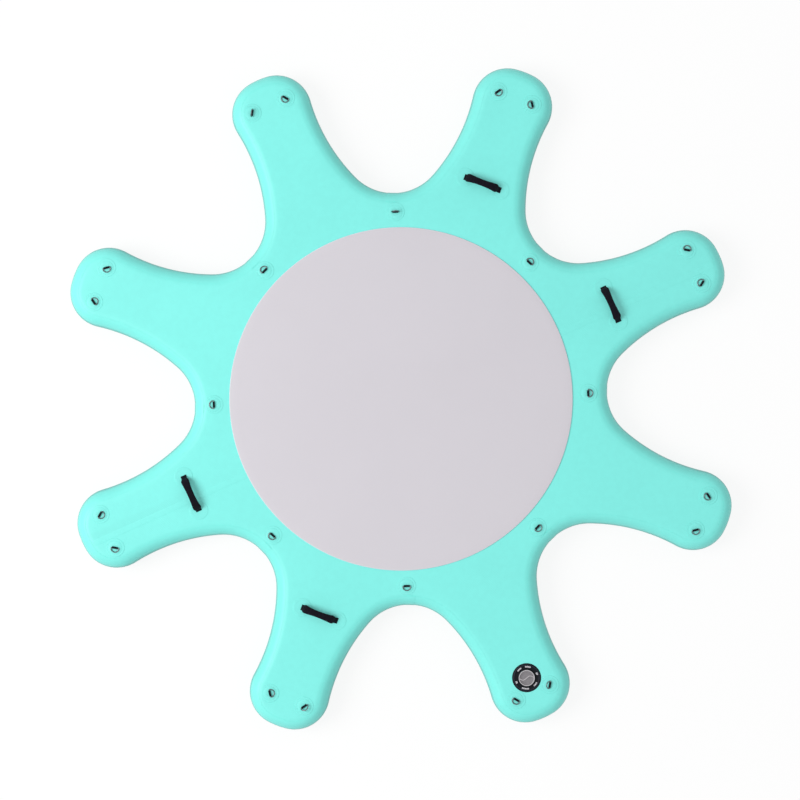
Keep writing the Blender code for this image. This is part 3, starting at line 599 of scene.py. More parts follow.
def patch_material():
    """The same fabric, with painted shade along its two rims, where their raised steps cast shadow.
    """
    nodes = Nodes("patch_fabric", TURQUOISE, 0.45, 0.36)
    radius = nodes.radius()
    # Painted shade: darker lines at the outer rim and at the step, where the raised edges shade the
    # cloth
    rim = nodes.span(radius, PATCH_RADIUS - 0.0030, PATCH_RADIUS - 0.0006, 0.0, 0.045)
    step = nodes.span(nodes.gap(radius, PATCH_STEP_RADIUS + 0.0006), 0.0004, 0.0018, 0.035, 0.0)
    nodes.shade(nodes.mottle(60.0, 0.97, 1.0, 2.0), nodes.without(nodes.math("ADD", rim, step)))
    nodes.rough(nodes.noise(40.0, 3.0), 0.40, 0.54)
    nodes.bump((nodes.noise(FABRIC_GRAIN, 3.0), 0.00007), (nodes.cells(420.0), 0.00005))
    return nodes.material


def webbing_material():
    """Black woven webbing: ribs across its length and a finer twill over them."""
    nodes = Nodes("black_webbing_weave", BLACK, 0.7, 0.09)
    x, y, z = nodes.axes()
    weave = nodes.product(nodes.wave(nodes.math("ADD", x, z), 0.0018), nodes.wave(y, 0.0013))
    nodes.shade(nodes.math("ADD", nodes.span(weave, -1.0, 1.0, 0.6, 1.5), nodes.noise(900.0)))
    nodes.rough(nodes.noise(500.0), 0.6, 0.85)
    nodes.bump((weave, 0.00022), (nodes.noise(3000.0), 0.00006))
    return nodes.material


def grip_material():
    """A foam sleeve in a knitted cover, with a faint purple cast."""
    nodes = Nodes("grip_knit", GRIP_BLACK, 0.75, 0.08, sheen=0.03)
    x, y, _ = nodes.axes()
    knit = nodes.product(nodes.wave(nodes.math("ADD", x, y), 0.0016),
                         nodes.wave(nodes.math("SUBTRACT", x, y), 0.0016))
    worn = nodes.span(nodes.noise(90.0, 3.0), 0.4, 0.75, 0.9, 1.6)
    nodes.shade(worn, nodes.span(knit, -1.0, 1.0, 0.75, 1.25))
    nodes.rough(nodes.noise(400.0), 0.62, 0.85)
    nodes.bump((knit, 0.00020), (nodes.noise(1200.0, 3.0), 0.00012))
    return nodes.material


def thread_material():
    nodes = Nodes("black_thread", THREAD_BLACK, 0.6, 0.15)
    x, y, _ = nodes.axes()
    twist = nodes.wave(nodes.math("ADD", x, y), 0.0007)
    nodes.shade(nodes.span(twist, -1.0, 1.0, 0.7, 1.2))
    nodes.bump((twist, 0.00008))
    return nodes.material


def steel_material():
    """Polished steel with fine scratches and dull spots."""
    nodes = Nodes("polished_steel_wire", STEEL, 0.18, metallic=1.0)
    drawn = nodes.add("ShaderNodeMapping", {"Vector": nodes.place, "Scale": (300, 300, 4000)})
    scratches = nodes.noise(1.0, 4.0, drawn.outputs["Vector"])
    nodes.shade(nodes.span(nodes.noise(260.0, 3.0), 0.35, 0.7, 1.0, 0.86))
    nodes.rough(scratches, 0.16, 0.36)
    nodes.bump((scratches, 0.00001))
    return nodes.material


def plastic_material(name, colour, low=0.35, high=0.5, specular=0.5, ridge=None):
    """Moulded plastic or rubber with a fine spark-eroded grain, several times paler in a thin line
    along a round ridge if its radius is given."""
    nodes = Nodes(name, colour, (low + high) / 2, specular)
    shades = [nodes.mottle(120.0, 0.93, 1.06)]
    if ridge:
        shades.append(nodes.span(nodes.gap(nodes.radius(), ridge), 0.0005, 0.0013, 6.0, 1.0))
    nodes.shade(*shades)
    nodes.rough(nodes.noise(600.0), low, high)
    nodes.bump((nodes.noise(2600.0), 0.00003))
    return nodes.material


def foam_material():
    """Closed-cell foam with a fine pebbled surface, and painted light on its rim that lifts the
    shade of its side.
    """
    nodes = Nodes("grey_pad_foam", PAD_GREY, 0.8, 0.3)
    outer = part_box("deck_pad")[1].x
    # Painted light: the rim is made paler to offset the shade and shadow at the pad's side
    rim = nodes.span(nodes.radius(), outer - 0.0045, outer - 0.0010, 1.0, 1.12)
    pores = nodes.cells(900.0)
    nodes.shade(rim, nodes.mottle(3.0, 0.992, 1.006), nodes.span(pores, 0.0, 0.45, 0.965, 1.01))
    nodes.rough(nodes.noise(20.0), 0.72, 0.88)
    nodes.bump((pores, 0.00018), (nodes.noise(260.0, 3.0), 0.00012))
    return nodes.material


def point_tree(points):
    tree = KDTree(len(points))
    for i, p in enumerate(points):
        tree.insert((p.x, p.y, 0), i)
    tree.balance()
    return tree


def filled(ring, hole):
    """A flat outline, with a round hole or none, filled with even triangles: its points as 2-D
    vectors, the outline's and the hole's first, and its faces."""
    fixed = ring + hole
    edges = []
    for start, line in ((0, ring), (len(ring), hole)):
        edges += [(start + i, start + (i + 1) % len(line)) for i in range(len(line))]
    tree = point_tree(fixed)
    grid = []
    rows = int(ARM_REACH / FILL_SPACING / math.sin(math.pi / 3)) + 1
    for row in range(-rows, rows + 1):
        for column in range(-rows - 1, rows + 1):
            x = (column + row % 2 / 2) * FILL_SPACING
            p = Vector((x, row * FILL_SPACING * math.sin(math.pi / 3)))
            if tree.find((p.x, p.y, 0))[2] > FILL_MARGIN:
                grid.append(p)
    points, _, faces, _, _, _ = delaunay_2d_cdt(fixed + grid, edges, [], 1, 1e-7)
    if hole:
        centre = mean(hole)
        rim = 0.98 * (hole[0] - centre).length
        faces = [face for face in faces if (mean([points[i] for i in face]) - centre).length > rim]
    return points, faces


def flat_places():
    """Where the top has to stay flat: (x, y, radius) of the pad, the valve and the patches."""
    places = [(0.0, 0.0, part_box("deck_pad")[1].x + PAD_ROOM), (*VALVE_CENTRE.to_2d(), VALVE_ROOM)]
    places += [(*joint["pos_m"][:2], RING_ROOM) for joint in RING_JOINTS]
    places += [(*box_centre(f"handle_strap_{arm}").to_2d(), HANDLE_ROOM) for arm in HANDLE_ARMS]
    return places


def ripple(p, places):
    """How far the top lies above its plane at p, which is never more than nothing."""
    share = 1.0
    for x, y, radius in places:
        share *= min(max((math.hypot(p.x - x, p.y - y) - radius) / RIPPLE_EASE, 0), 1)
    return share * RIPPLE * (noise.noise(Vector((p.x, p.y, 0)) * RIPPLE_SCALE) - 1)


def body_mesh():
    """The closed inflated body: a rounded edge all round, a top and a bottom held flat by the
    threads, and the well round the valve's barrel."""
    points, rows = [], []
    for angle in spread(math.pi / 2, -math.pi / 2, EDGE_STEPS):
        inset, height = edge_point(angle, 0)
        start = len(points)
        for arm in range(ARM_COUNT):
            points += [(*outline_point(arm, s, inset), height) for s in ARM_SAMPLES[:-1]]
        rows.append(range(start, len(points)))
    faces = strips(rows)
    count = len(rows[0])
    ring = [Vector(p[:2]) for p in points[:count]]
    spokes = circle(WELL_SEGMENTS)
    hole = [VALVE_CENTRE.to_2d() + WELL_MOUTH * spoke for spoke in spokes]
    places = flat_places()
    edge_tree = point_tree(ring)
    for height, opening, start in ((TOP, hole, 0), (BOTTOM, [], rows[-1][0])):
        flat, triangles = filled(ring, opening)
        numbers = list(range(start, start + count))
        for i, p in enumerate(flat[count:]):
            rise = 0.0
            if opening and i >= len(opening):
                from_edge = edge_tree.find((p.x, p.y, 0))[2]
                rise = ripple(p, places) * min(from_edge / RIPPLE_EASE, 1)
            numbers.append(len(points))
            points.append((p.x, p.y, height + rise))
        faces += [tuple(numbers[i] for i in face) for face in triangles]
        if opening:
            rim = numbers[count:count + len(opening)]
    well = ((WELL_MOUTH, WELL_LIP), (WELL_RADIUS, WELL_LIP), (WELL_RADIUS, WELL_DEPTH))
    for radius, depth in well:
        following = range(len(points), len(points) + len(spokes))
        points += [(*(VALVE_CENTRE.to_2d() + radius * spoke), TOP - depth) for spoke in spokes]
        faces += strips([rim, following])
        rim = following
    return mesh_from(points, [*faces, tuple(rim)])


def make_body(skin):
    layers = ("upper_skin", "lower_skin", "base_cloth", "drop_threads")
    body = new_piece("inflated_body", body_mesh(), skin,
                     replaced=[f"{layer}_{half}" for layer in layers for half in "ab"])
    return body


def surface_of(piece):
    """Height of a piece's upper side under a point."""
    bm = bmesh.new()
    bm.from_mesh(piece.data)
    tree = BVHTree.FromBMesh(bm)
    bm.free()

    def height(x, y):
        hit = tree.ray_cast(Vector((x, y, 2 * TOP)), Vector((0, 0, -1)))[0]
        return hit.z if hit else TOP

    return height


def make_bands(skin):
    """A wide strip welded round the edge of each arm, its end lapped over the next one's start."""
    _, radius, _, sweep, _ = ARCS[-1]
    lap = spread(1, 1 + BAND_LAP / abs(radius * sweep), math.ceil(2 * BAND_LAP / OUTLINE_SPACING))
    samples = ARM_SAMPLES + [(1, len(ARCS) - 1, share) for share in lap[1:]]
    reach = math.acos(1 - BAND_INSET / EDGE)
    angles = spread(reach, -reach, BAND_STEPS)
    across = [0.0]
    for a, b in zip(angles, angles[1:]):
        across.append(across[-1] + math.dist(edge_point(a, 0), edge_point(b, 0)))
    width = across[-1]
    for arm in range(ARM_COUNT):
        run = distances([outline_point(arm, sample, 0.0) for sample in samples])
        length = run[-1]
        sections = []
        for sample, along in zip(samples, run):
            climb = min(max((along - length + BAND_LAP + BAND_LAP_RAMP) / BAND_LAP_RAMP, 0), 1)
            lift = SKIN_GAP + climb * climb * (3 - 2 * climb) * (BAND + SKIN_GAP)
            outer, inner = [], []
            for angle, place in zip(angles, across):
                from_edge = max(min(place, width - place, along, length - along), 0)
                thick = BAND_EDGE + (BAND - BAND_EDGE) * min(from_edge / BAND_FEATHER, 1) ** 0.5
                for points, height in ((outer, lift + thick), (inner, lift)):
                    inset, up = edge_point(angle, height)
                    points.append((*outline_point(arm, sample, inset), up))
            sections.append(outer + inner[::-1])
        band = new_piece(f"side_band_{arm}", loft(sections), skin,
                         replaced=(f"side_wall_{arm}",), sharp=50)


def seam_offset():
    """How far left of the axis of arms 0 and 4 the seam lies, from the CAD's own tape."""
    tape = frame["nodes"]["upper_seam_tape"].data
    sides = [SEAM_NORMAL.dot(v.co.to_2d()) for v in tape.vertices]
    return (min(sides) + max(sides)) / 2


def make_seam_tapes(skin, surface):
    """The tape over each seam, along arms 0 and 4 and under the pad."""
    offset = seam_offset()
    stations = spread(-TAPE_REACH, TAPE_REACH, math.ceil(2 * TAPE_REACH / TAPE_SPACING))
    turn = Matrix.Rotation(HALF_PITCH, 2)
    half = TAPE_WIDTH / 2
    for name, upper in (("upper_seam_tape", True), ("lower_seam_tape", False)):
        sections = []
        for along in stations:
            section = []
            for layer in (1, 0):
                for column in TAPE_COLUMNS if layer else reversed(TAPE_COLUMNS):
                    p = turn @ Vector((along, offset + half * column))
                    feather = min((half - abs(half * column)) / TAPE_FEATHER, 1)
                    lift = GLUE_GAP + TAPE * (0.3 + 0.7 * feather) * layer
                    section.append((*p, surface(*p) + lift if upper else BOTTOM - lift))
            sections.append(section)
        tape = new_piece(f"{name}_strip", loft(sections), skin,
                         replaced=(name,), sharp=50)


def patch_profile(step):
    """A closed profile of a patch's heights above the surface, with rounded rims."""
    def rim(radius, top):
        return [(radius - PATCH_BEVEL, top), (radius - 0.3 * PATCH_BEVEL, top - 0.3 * PATCH_BEVEL),
                (radius, top - PATCH_BEVEL)]

    if step:
        top = PATCH + PATCH_STEP
        profile = [(0, top), (PATCH_STEP_RADIUS * 0.5, top), *rim(PATCH_STEP_RADIUS, top),
                   (PATCH_STEP_RADIUS + 0.0001, PATCH)]
    else:
        profile = [(0, PATCH), (PATCH_RADIUS * 0.4, PATCH)]
    profile += [(PATCH_RADIUS * 0.87, PATCH), *rim(PATCH_RADIUS, PATCH)]
    return profile + [(PATCH_RADIUS * share, GLUE_GAP) for share in (1, 0.87, 0.4, 0)]


def make_patch(name, centre, turn, step, fabric, surface):
    matrix = Matrix.Translation((centre[0], centre[1], TOP)) @ Matrix.Rotation(turn, 4, "Z")

    def local(x, y):
        p = matrix @ Vector((x, y, 0))
        return surface(p.x, p.y) - TOP

    mesh = lathe(patch_profile(step), PATCH_SEGMENTS, local)
    patch = new_piece(name, mesh, fabric, matrix=matrix, sharp=40)


def loop_mesh():
    """The webbing loop round a ring's bar, which runs along Y through the origin."""
    middle = RING_WIRE / 2 + LOOP_PLAY + LOOP_THICKNESS / 2
    leg = RING_HEIGHT - TOP - PATCH - PATCH_STEP + LOOP_SUNK
    path = [(Vector((middle, 0, -leg * (1 - i / 3))), Vector((1, 0, 0))) for i in range(3)]
    for angle in spread(0, math.pi, 16):
        out = Vector((math.cos(angle), 0, math.sin(angle)))
        path.append((out * middle, out))
    path += [(Vector((-middle, 0, -leg * i / 3)), Vector((-1, 0, 0))) for i in range(1, 4)]
    outline = rounded_box(LOOP_WIDTH, LOOP_THICKNESS, 0.0006)
    return loft([strip_section(point, out, outline) for point, out in path])


def ring_mesh():
    """A D-shaped ring in XY, its bar along Y through the origin and its bow towards +X."""
    half = (RING_INNER_WIDTH + RING_WIRE) / 2
    straight = half - RING_CORNER
    path = []
    for centre, radius, first, last, steps in (
        ((RING_CORNER, straight), RING_CORNER, 180, 90, 6),
        ((RING_CORNER, 0), half, 90, -90, 44),
        ((RING_CORNER, -straight), RING_CORNER, -90, -180, 6),
    ):
        for angle in spread(first, last, steps):
            out = unit(math.radians(angle)).to_3d()
            point = Vector((*centre, 0)) + radius * out
            if not path or (point - path[-1][0]).length > 1e-6:
                path.append((point, out))
    bar = spread(-straight, straight, 8)[1:-1]
    path += [(Vector((0, y, 0)), Vector((-1, 0, 0))) for y in bar]
    return loft([wire_section(*place, RING_WIRE, RING_SIDES) for place in path], closed=True)


def ring_frame(joint):
    """A ring's own frame at rest: its bar's middle, Y along the bar and X towards the bow."""
    points = [v.co for v in frame["nodes"][joint["child"]].data.vertices]
    pivot = Vector(joint["pos_m"])
    along = -Vector(joint["axis"])
    bow = mean(points) - pivot
    bow = (bow - along * bow.dot(along)).normalized()
    rotation = Matrix((bow, along, bow.cross(along))).transposed().to_4x4()
    return Matrix.Translation(pivot) @ rotation


def make_rings(steel, webbing, fabric, surface):
    """24 patches, each with a webbing loop and the D-ring that swings in it."""
    wire = ring_mesh()
    band = loop_mesh()
    for joint in RING_JOINTS:
        name = joint["child"]
        place = name.removeprefix("d_ring_")
        new_piece(f"{name}_wire", wire.copy(), steel, name, ring_frame(joint),
                  replaced=(name,))
        pivot, bar = Vector(joint["pos_m"]), Vector(joint["axis"])
        turn = math.atan2(-bar.x, bar.y)
        make_patch(f"ring_patch_{place}", pivot, turn, True, fabric, surface)
        upright = Matrix.Translation(pivot) @ Matrix.Rotation(turn, 4, "Z")
        tab = new_piece(f"ring_loop_{place}", band.copy(), webbing,
                        matrix=upright)


def handle_frame(arm):
    """A handle's own frame: X along it to its covered end, Z up from its strap's underside."""
    centre = box_centre(f"handle_strap_{arm}").to_2d()
    direction = (2 * arm + 1) * HALF_PITCH + math.pi / 2
    offset = box_centre(f"handle_grip_{arm}").to_2d() - centre
    if offset.dot(unit(direction)) < 0:
        direction += math.pi
    return Matrix.Translation((*centre, HANDLE_BASE)) @ Matrix.Rotation(direction, 4, "Z")


def strap_height(x):
    share = min(abs(x / HANDLE_HALF_SPAN), 1)
    return HANDLE_STRAP / 2 + HANDLE_RISE * (1 - share**HANDLE_ARCH_POWER)


def strap_frame(x):
    """The strap's middle at x and its upward direction there."""
    step = HANDLE_STRAP / 2
    slope = (strap_height(x + step) - strap_height(x - step)) / (2 * step)
    return Vector((x, 0, strap_height(x))), Vector((-slope, 0, 1)).normalized()


def grip_size(x):
    """The sleeve's width and depth at x: wide and thin at its shoulders, slim and fat between."""
    middle = (GRIP_FIRST + GRIP_LAST) / 2
    half = (GRIP_LAST - GRIP_FIRST) / 2 - GRIP_SHOULDER
    off_middle = abs(x - middle)
    towards_shoulder = min(off_middle / half, 1) ** 2
    gathered = max(off_middle - half, 0) / GRIP_SHOULDER
    width = HANDLE_WIDTH + 2 * GRIP_SIDE + GRIP_FLARE * (towards_shoulder - gathered**2.2)
    depth = GRIP_WAIST_DEPTH + (GRIP_END_DEPTH - GRIP_WAIST_DEPTH) * towards_shoulder
    return width, depth * (1 - 0.25 * gathered**2)


def oval(width, depth):
    points = []
    for i in range(GRIP_SIDES):
        angle = 2 * math.pi * (i + 0.5) / GRIP_SIDES
        across = math.copysign(abs(math.cos(angle)) ** GRIP_FLATNESS, math.cos(angle))
        rise = math.copysign(abs(math.sin(angle)) ** GRIP_ROUNDNESS, math.sin(angle))
        points.append((width / 2 * across, depth / 2 * rise))
    return points


def grip_mesh():
    """The padded sleeve, with a slit for the strap at each end."""
    stations = [GRIP_FIRST + (GRIP_LAST - GRIP_FIRST) * (0.5 - 0.5 * math.cos(angle))
                for angle in spread(0, math.pi, GRIP_STATIONS)]
    slit = oval(HANDLE_WIDTH + GRIP_PLAY, HANDLE_STRAP + GRIP_PLAY)

    def drawn_in(x, share, shift):
        middle, up = strap_frame(x)
        middle += Vector((0, 1, 0)).cross(up) * GRIP_LIP * shift
        return strip_section(middle, up, [
            (o[0] + (i[0] - o[0]) * share, o[1] + (i[1] - o[1]) * share)
            for o, i in zip(oval(*grip_size(x)), slit)
        ])

    first, last = stations[0], stations[-1]
    lips = ((0.75, 0.6), (0.30, 1.0), (0.06, 0.5))
    return loft([
        *(drawn_in(first, share, -shift) for share, shift in lips),
        *(strip_section(*strap_frame(x), oval(*grip_size(x))) for x in stations),
        *(drawn_in(last, share, shift) for share, shift in lips[::-1]),
        *(strip_section(*strap_frame(x), slit) for x in stations[::-1]),
    ], closed=True)


def stitch_mesh():
    """The sleeve's stitches, each a flattened capsule half sunk in the cloth: across both its
    ends, above and below, and along its seam underneath."""
    marks = []
    for x in (GRIP_FIRST + ROW_INSET, GRIP_LAST - ROW_INSET):
        width, depth = grip_size(x)
        middle, up = strap_frame(x)
        for side in (-1, 1):
            for i in range(ROW_STITCHES):
                across = (i - (ROW_STITCHES - 1) / 2) * ROW_PITCH
                if abs(across) > width / 2 - ROW_MARGIN:
                    continue
                fall = (1 - abs(2 * across / width) ** (2 / GRIP_FLATNESS)) ** (GRIP_ROUNDNESS / 2)
                spot = middle + Vector((0, across, 0)) + up * side * depth / 2 * fall
                marks.append((spot, Vector((0, 1, 0)), up * side))
    for x in spread(GRIP_FIRST + SEAM_INSET, GRIP_LAST - SEAM_INSET, SEAM_STITCHES - 1):
        middle, up = strap_frame(x)
        marks.append((middle - up * grip_size(x)[1] / 2, Vector((0, 1, 0)).cross(up), -up))
    stitches = []
    for place, along, up in marks:
        side = along.cross(up).normalized()
        stitches.append([
            [place + along * STITCH_LENGTH * share
             + side * p.x * STITCH_WIDTH * size + up * p.y * STITCH_HEIGHT * size
             for p in circle(STITCH_SIDES)]
            for share, size in STITCH_STATIONS
        ])
    return loft(*stitches)


def make_handles(webbing, knit, thread, fabric, surface):
    end = HANDLE_HALF_SPAN + HANDLE_FOOT
    stations = spread(-end, end, HANDLE_STATIONS)
    outline = rounded_box(HANDLE_WIDTH, HANDLE_STRAP, 0.0007)
    strap = loft([strip_section(*strap_frame(x), outline) for x in stations])
    grip = grip_mesh()
    stitches = stitch_mesh()
    for arm in HANDLE_ARMS:
        matrix = handle_frame(arm)
        for label, side in (("bare", -1), ("covered", 1)):
            centre = matrix @ Vector((side * (HANDLE_HALF_SPAN + HANDLE_FOOT / 2), 0, 0))
            make_patch(f"handle_patch_{arm}_{label}", centre, 0.0, False, fabric, surface)
        webbing_piece = new_piece(f"handle_webbing_{arm}", strap.copy(), webbing,
                                  matrix=matrix, replaced=(f"handle_strap_{arm}",))
        sleeve = new_piece(f"handle_sleeve_{arm}", grip.copy(), knit,
                           matrix=matrix, replaced=(f"handle_grip_{arm}",))
        new_piece(f"handle_stitches_{arm}", stitches.copy(), thread, matrix=matrix)


def make_pad(foam):
    """The round foam pad, with a shallow channel underneath over the seam tape."""
    low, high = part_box("deck_pad")
    radius = high.x
    offset = seam_offset()
    profile = [(radius * share, high.z) for share in (0, 0.2, 0.4, 0.6, 0.8, 0.95)]
    for angle in spread(0, math.pi / 2, 5):
        rise, out = PAD_EDGE * (unit(angle) - Vector((1, 1)))
        profile.append((radius + out, high.z + rise))
    hollow = low.z + PAD_HOLLOW
    profile += [(radius, low.z + 0.0004), (radius - 0.0006, low.z), (radius - 0.018, low.z),
                (radius - 0.022, hollow), (radius * 0.5, hollow), (0, hollow)]
    mesh = lathe(profile, PAD_SEGMENTS)
    for vertex in mesh.vertices:
        from_seam = abs(SEAM_NORMAL.dot(vertex.co.to_2d()) - offset)
        if vertex.co.z < hollow and from_seam < TAPE_WIDTH / 2 + PAD_SEAM_ROOM:
            vertex.co.z = hollow
    pad = new_piece("deck_pad_foam", mesh, foam, replaced=("deck_pad",), sharp=40)


def valve_size(node):
    """A valve node's lowest and highest point above the upper skin, and half its width."""
    low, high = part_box(node)
    return low.z - TOP, high.z - TOP, (high.x - low.x) / 2


def valve_piece(name, mesh, material, body="root", replaced=(), sharp=50):
    new_piece(name, mesh, material, body, Matrix.Translation(VALVE_CENTRE), replaced, sharp)


def make_surround(print_white):
    """The black ring round the valve: a lip, a ridge near its rim, and plain white dial marks."""
    low, high, outer = valve_size("valve_surround")
    face = high - SURROUND_RIDGE
    lip = face + 0.0002
    lip_in, lip_out = SURROUND_LIP
    ridge = outer - SURROUND_RIDGE_INSET
    profile = [
        (SURROUND_BORE, low), (SURROUND_BORE, face), (lip_in, face), (lip_in + 0.0007, lip),
        (lip_out - 0.0007, lip), (lip_out, face), (ridge - 0.0012, face), (ridge - 0.0006, high),
        (ridge + 0.0006, high), (ridge + 0.0012, face), (outer - 0.0016, face - 0.0003),
        (outer - 0.0006, low + 0.0006), (outer, low + 0.0003), (outer, low),
    ]
    black = plastic_material("black_surround_rubber", RUBBER_BLACK, 0.40, 0.55, 0.14, ridge)
    valve_piece("valve_surround_ring", lathe(profile, 144), black,
                replaced=("valve_surround",))
    marks = []
    wide = MARK_WIDTH / MARK_RADIUS / 2
    levels = (face, face + MARK_THICKNESS)
    for bearing, count, tall in MARK_GROUPS:
        for i in range(count):
            angle = math.radians(bearing + (i - (count - 1) / 2) * MARK_PITCH)
            corners = [
                (MARK_RADIUS + reach / 2) * unit(angle + turn)
                for turn, reach in ((-wide, -tall), (wide, -tall), (wide, tall), (-wide, tall))
            ]
            marks.append([[(*p, level) for p in corners] for level in levels])
    valve_piece("valve_dial_marks", loft(*marks), print_white, sharp=30)


def make_cap(grey, light_grey):
    """The dished cap: a raised light rim, ribs round its side and an S-shaped finger wall."""
    low, high, radius = valve_size("valve_cap")
    under = high - CAP_DEPTH
    floor = under + CAP_WALL
    plug, step = CAP_PLUG_RADIUS, CAP_STEP_RADIUS
    rim_in = radius - CAP_RIM_WIDTH
    profile = [
        (0, under), (plug - CAP_WALL, under), (plug - CAP_WALL, low), (plug - 0.0003, low),
        (plug, low + 0.0004), (plug, under), (radius - 0.0008, under), (radius, under + 0.0008),
        (radius, high - 0.0022), (radius - 0.0004, high - 0.0016), (rim_in, high - 0.0016),
        (rim_in - 0.0006, high - 0.0022), (rim_in - 0.0010, floor + 0.0006),
        (rim_in - 0.0018, floor), (step + 0.0006, floor - 0.0002), (step + 0.0002, floor - 0.0009),
        (step - 0.0004, floor - 0.0012), (step * 0.75, floor - 0.0006), (step * 0.5, floor - 0.0001),
        (step * 0.25, floor + 0.0002), (0, floor + 0.0003),
    ]
    shell = lathe(profile, 8 * CAP_RIBS)
    for vertex in shell.vertices:
        flat = vertex.co.to_2d()
        if flat.length > radius - 0.0003 and under + 0.0006 < vertex.co.z < high - 0.0012:
            wave = 0.5 + 0.5 * math.cos(CAP_RIBS * math.atan2(flat.y, flat.x))
            flat = flat * (1 - CAP_RIB_DEPTH * wave / flat.length)
            vertex.co.x, vertex.co.y = flat
    valve_piece("valve_cap_shell", shell, grey, "cap", ("valve_cap",), 40)
    rim = [
        (rim_in + 0.0002, high - 0.0017), (rim_in + 0.0004, high - 0.0005), (rim_in + 0.0011, high),
        (radius - 0.0011, high), (radius - 0.0004, high - 0.0005), (radius - 0.0002, high - 0.0017),
    ]
    valve_piece("valve_cap_rim", lathe(rim, 180), light_grey, "cap")
    reach = rim_in + FINGER_WALL / 2
    sections = []
    for share in spread(-1, 1, FINGER_WALL_STEPS):
        middle = Vector((share * reach, FINGER_WALL_SWING * math.sin(math.pi * share), floor))
        slope = FINGER_WALL_SWING * math.pi * math.cos(math.pi * share) / reach
        side = Vector((-slope, 1, 0)).normalized() * FINGER_WALL
        sections.append([middle + side * across + Vector((0, 0, FINGER_WALL_HEIGHT * up))
                         for across, up in FINGER_WALL_SECTION])
    valve_piece("valve_cap_finger_wall", loft(sections), light_grey, "cap")


def make_leash(rubber):
    """The ring that turns under the flange, with its ear beside the cap."""
    low, high, _ = valve_size("cap_leash")
    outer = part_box("cap_leash")[1].x - VALVE_CENTRE.x
    band = low + LEASH_BAND
    profile = [
        (LEASH_BORE, low), (LEASH_BORE, band), (outer - LEASH_BEVEL, band),
        (outer, band - LEASH_BEVEL), (outer, low + LEASH_BEVEL), (outer - LEASH_BEVEL, low),
    ]
    valve_piece("cap_leash_ring", lathe(profile, 180), rubber, "leash",
                ("cap_leash",))
    middle = outer - 0.0002 - EAR_DEPTH / 2
    outline = rounded_box(EAR_WIDTH, EAR_DEPTH, 0.0008)
    sections = []
    for share in spread(0, 1, EAR_STEPS):
        height = band - EAR_SUNK + (high - band + EAR_SUNK) * share
        swell = math.sqrt(1 - max(share - 0.7, 0) ** 2 / 0.1)
        sections.append([Vector((middle + depth * swell, across * swell, height))
                         for across, depth in outline])
    valve_piece("cap_leash_ear", loft(sections), rubber, "leash")


def rounded(profile, radius):
    """A closed profile with its corners off the axis turned into small arcs of three points."""
    points = []
    for corner, before, after in zip(profile, profile[-1:] + profile, profile[1:] + profile[:1]):
        if corner[0] == 0:
            points.append(corner)
            continue
        here = Vector(corner)
        first, last = (
            here + (Vector(p) - here) * min(radius / (Vector(p) - here).length, 0.5)
            for p in (before, after)
        )
        middle = here.lerp((first + last) / 2, 2 - math.sqrt(2))
        points += [tuple(first), tuple(middle), tuple(last)]
    return points


def tube(inner, outer, low, high):
    return [(inner, low), (outer, low), (outer, high), (inner, high)]


def make_valve_inside(grey, white, rubber):
    """The body with its seat, spider and guide, the nut, and the stem with its poppet and seal."""
    low, high, _ = valve_size("valve_body")
    seat_low, seat_high = SEAT_HEIGHTS
    flange_low, room_high = FLANGE_ROOM
    shell = [
        (BORE_RADIUS, high), (BORE_RADIUS, seat_high), (SEAT_RADIUS, seat_high),
        (SEAT_RADIUS, seat_low), (BORE_RADIUS, seat_low), (BORE_RADIUS, low),
        (BARREL_RADIUS, low), (BARREL_RADIUS, flange_low), (FLANGE_NECK, flange_low),
        (FLANGE_NECK, room_high), (FLANGE_RADIUS, room_high), (FLANGE_RADIUS, high),
    ]
    hub = tube(GUIDE_RADIUS, HUB_RADIUS, seat_low, seat_high)
    low, high, _ = valve_size("valve_stem")
    stem = [
        (0, low), (POPPET_RADIUS, low), (POPPET_RADIUS, low + POPPET),
        (STEM_RADIUS, low + POPPET), (STEM_RADIUS, high - BUTTON),
        (BUTTON_RADIUS, high - BUTTON), (BUTTON_RADIUS, high), (0, high),
    ]
    seal = tube(SEAL_INNER, SEAL_OUTER, *valve_size("valve_seal")[:2])
    for name, profile, corner, material, slot, body, node in (
        ("valve_body_shell", shell, 0.0003, grey, "grey_plastic", "root", "valve_body"),
        ("valve_guide_hub", hub, 0.0003, grey, "grey_plastic", "root", "valve_body"),
        ("valve_push_stem", stem, 0.0006, white, "white_plastic", "stem", "valve_stem"),
        ("valve_seal_ring", seal, 0.0004, rubber, "black_rubber", "stem", "valve_seal"),
    ):
        valve_piece(name, lathe(rounded(profile, corner), 120), material, body, (node,), 60)
    outline = rounded_box(SPIDER_WIDTH, seat_high - seat_low, 0.0005)
    middle = (seat_low + seat_high) / 2
    for number in range(4):
        turn = Matrix.Rotation(number * math.pi / 2, 3, "Z")
        sections = [[turn @ Vector((reach, across, middle + rise)) for across, rise in outline]
                    for reach in (GUIDE_RADIUS + 0.0008, SEAT_RADIUS + 0.0005)]
        valve_piece(f"valve_spider_{number}", loft(sections), grey, sharp=60)
    nut = new_piece("valve_nut_ring", frame["nodes"]["valve_nut"].data.copy(), grey,
                    replaced=("valve_nut",), sharp=35)
    bevel = nut.modifiers.new("soft_edges", "BEVEL")
    bevel.width = NUT_BEVEL
    bevel.segments = 2
    bevel.limit_method = "ANGLE"
    bevel.angle_limit = math.radians(40)


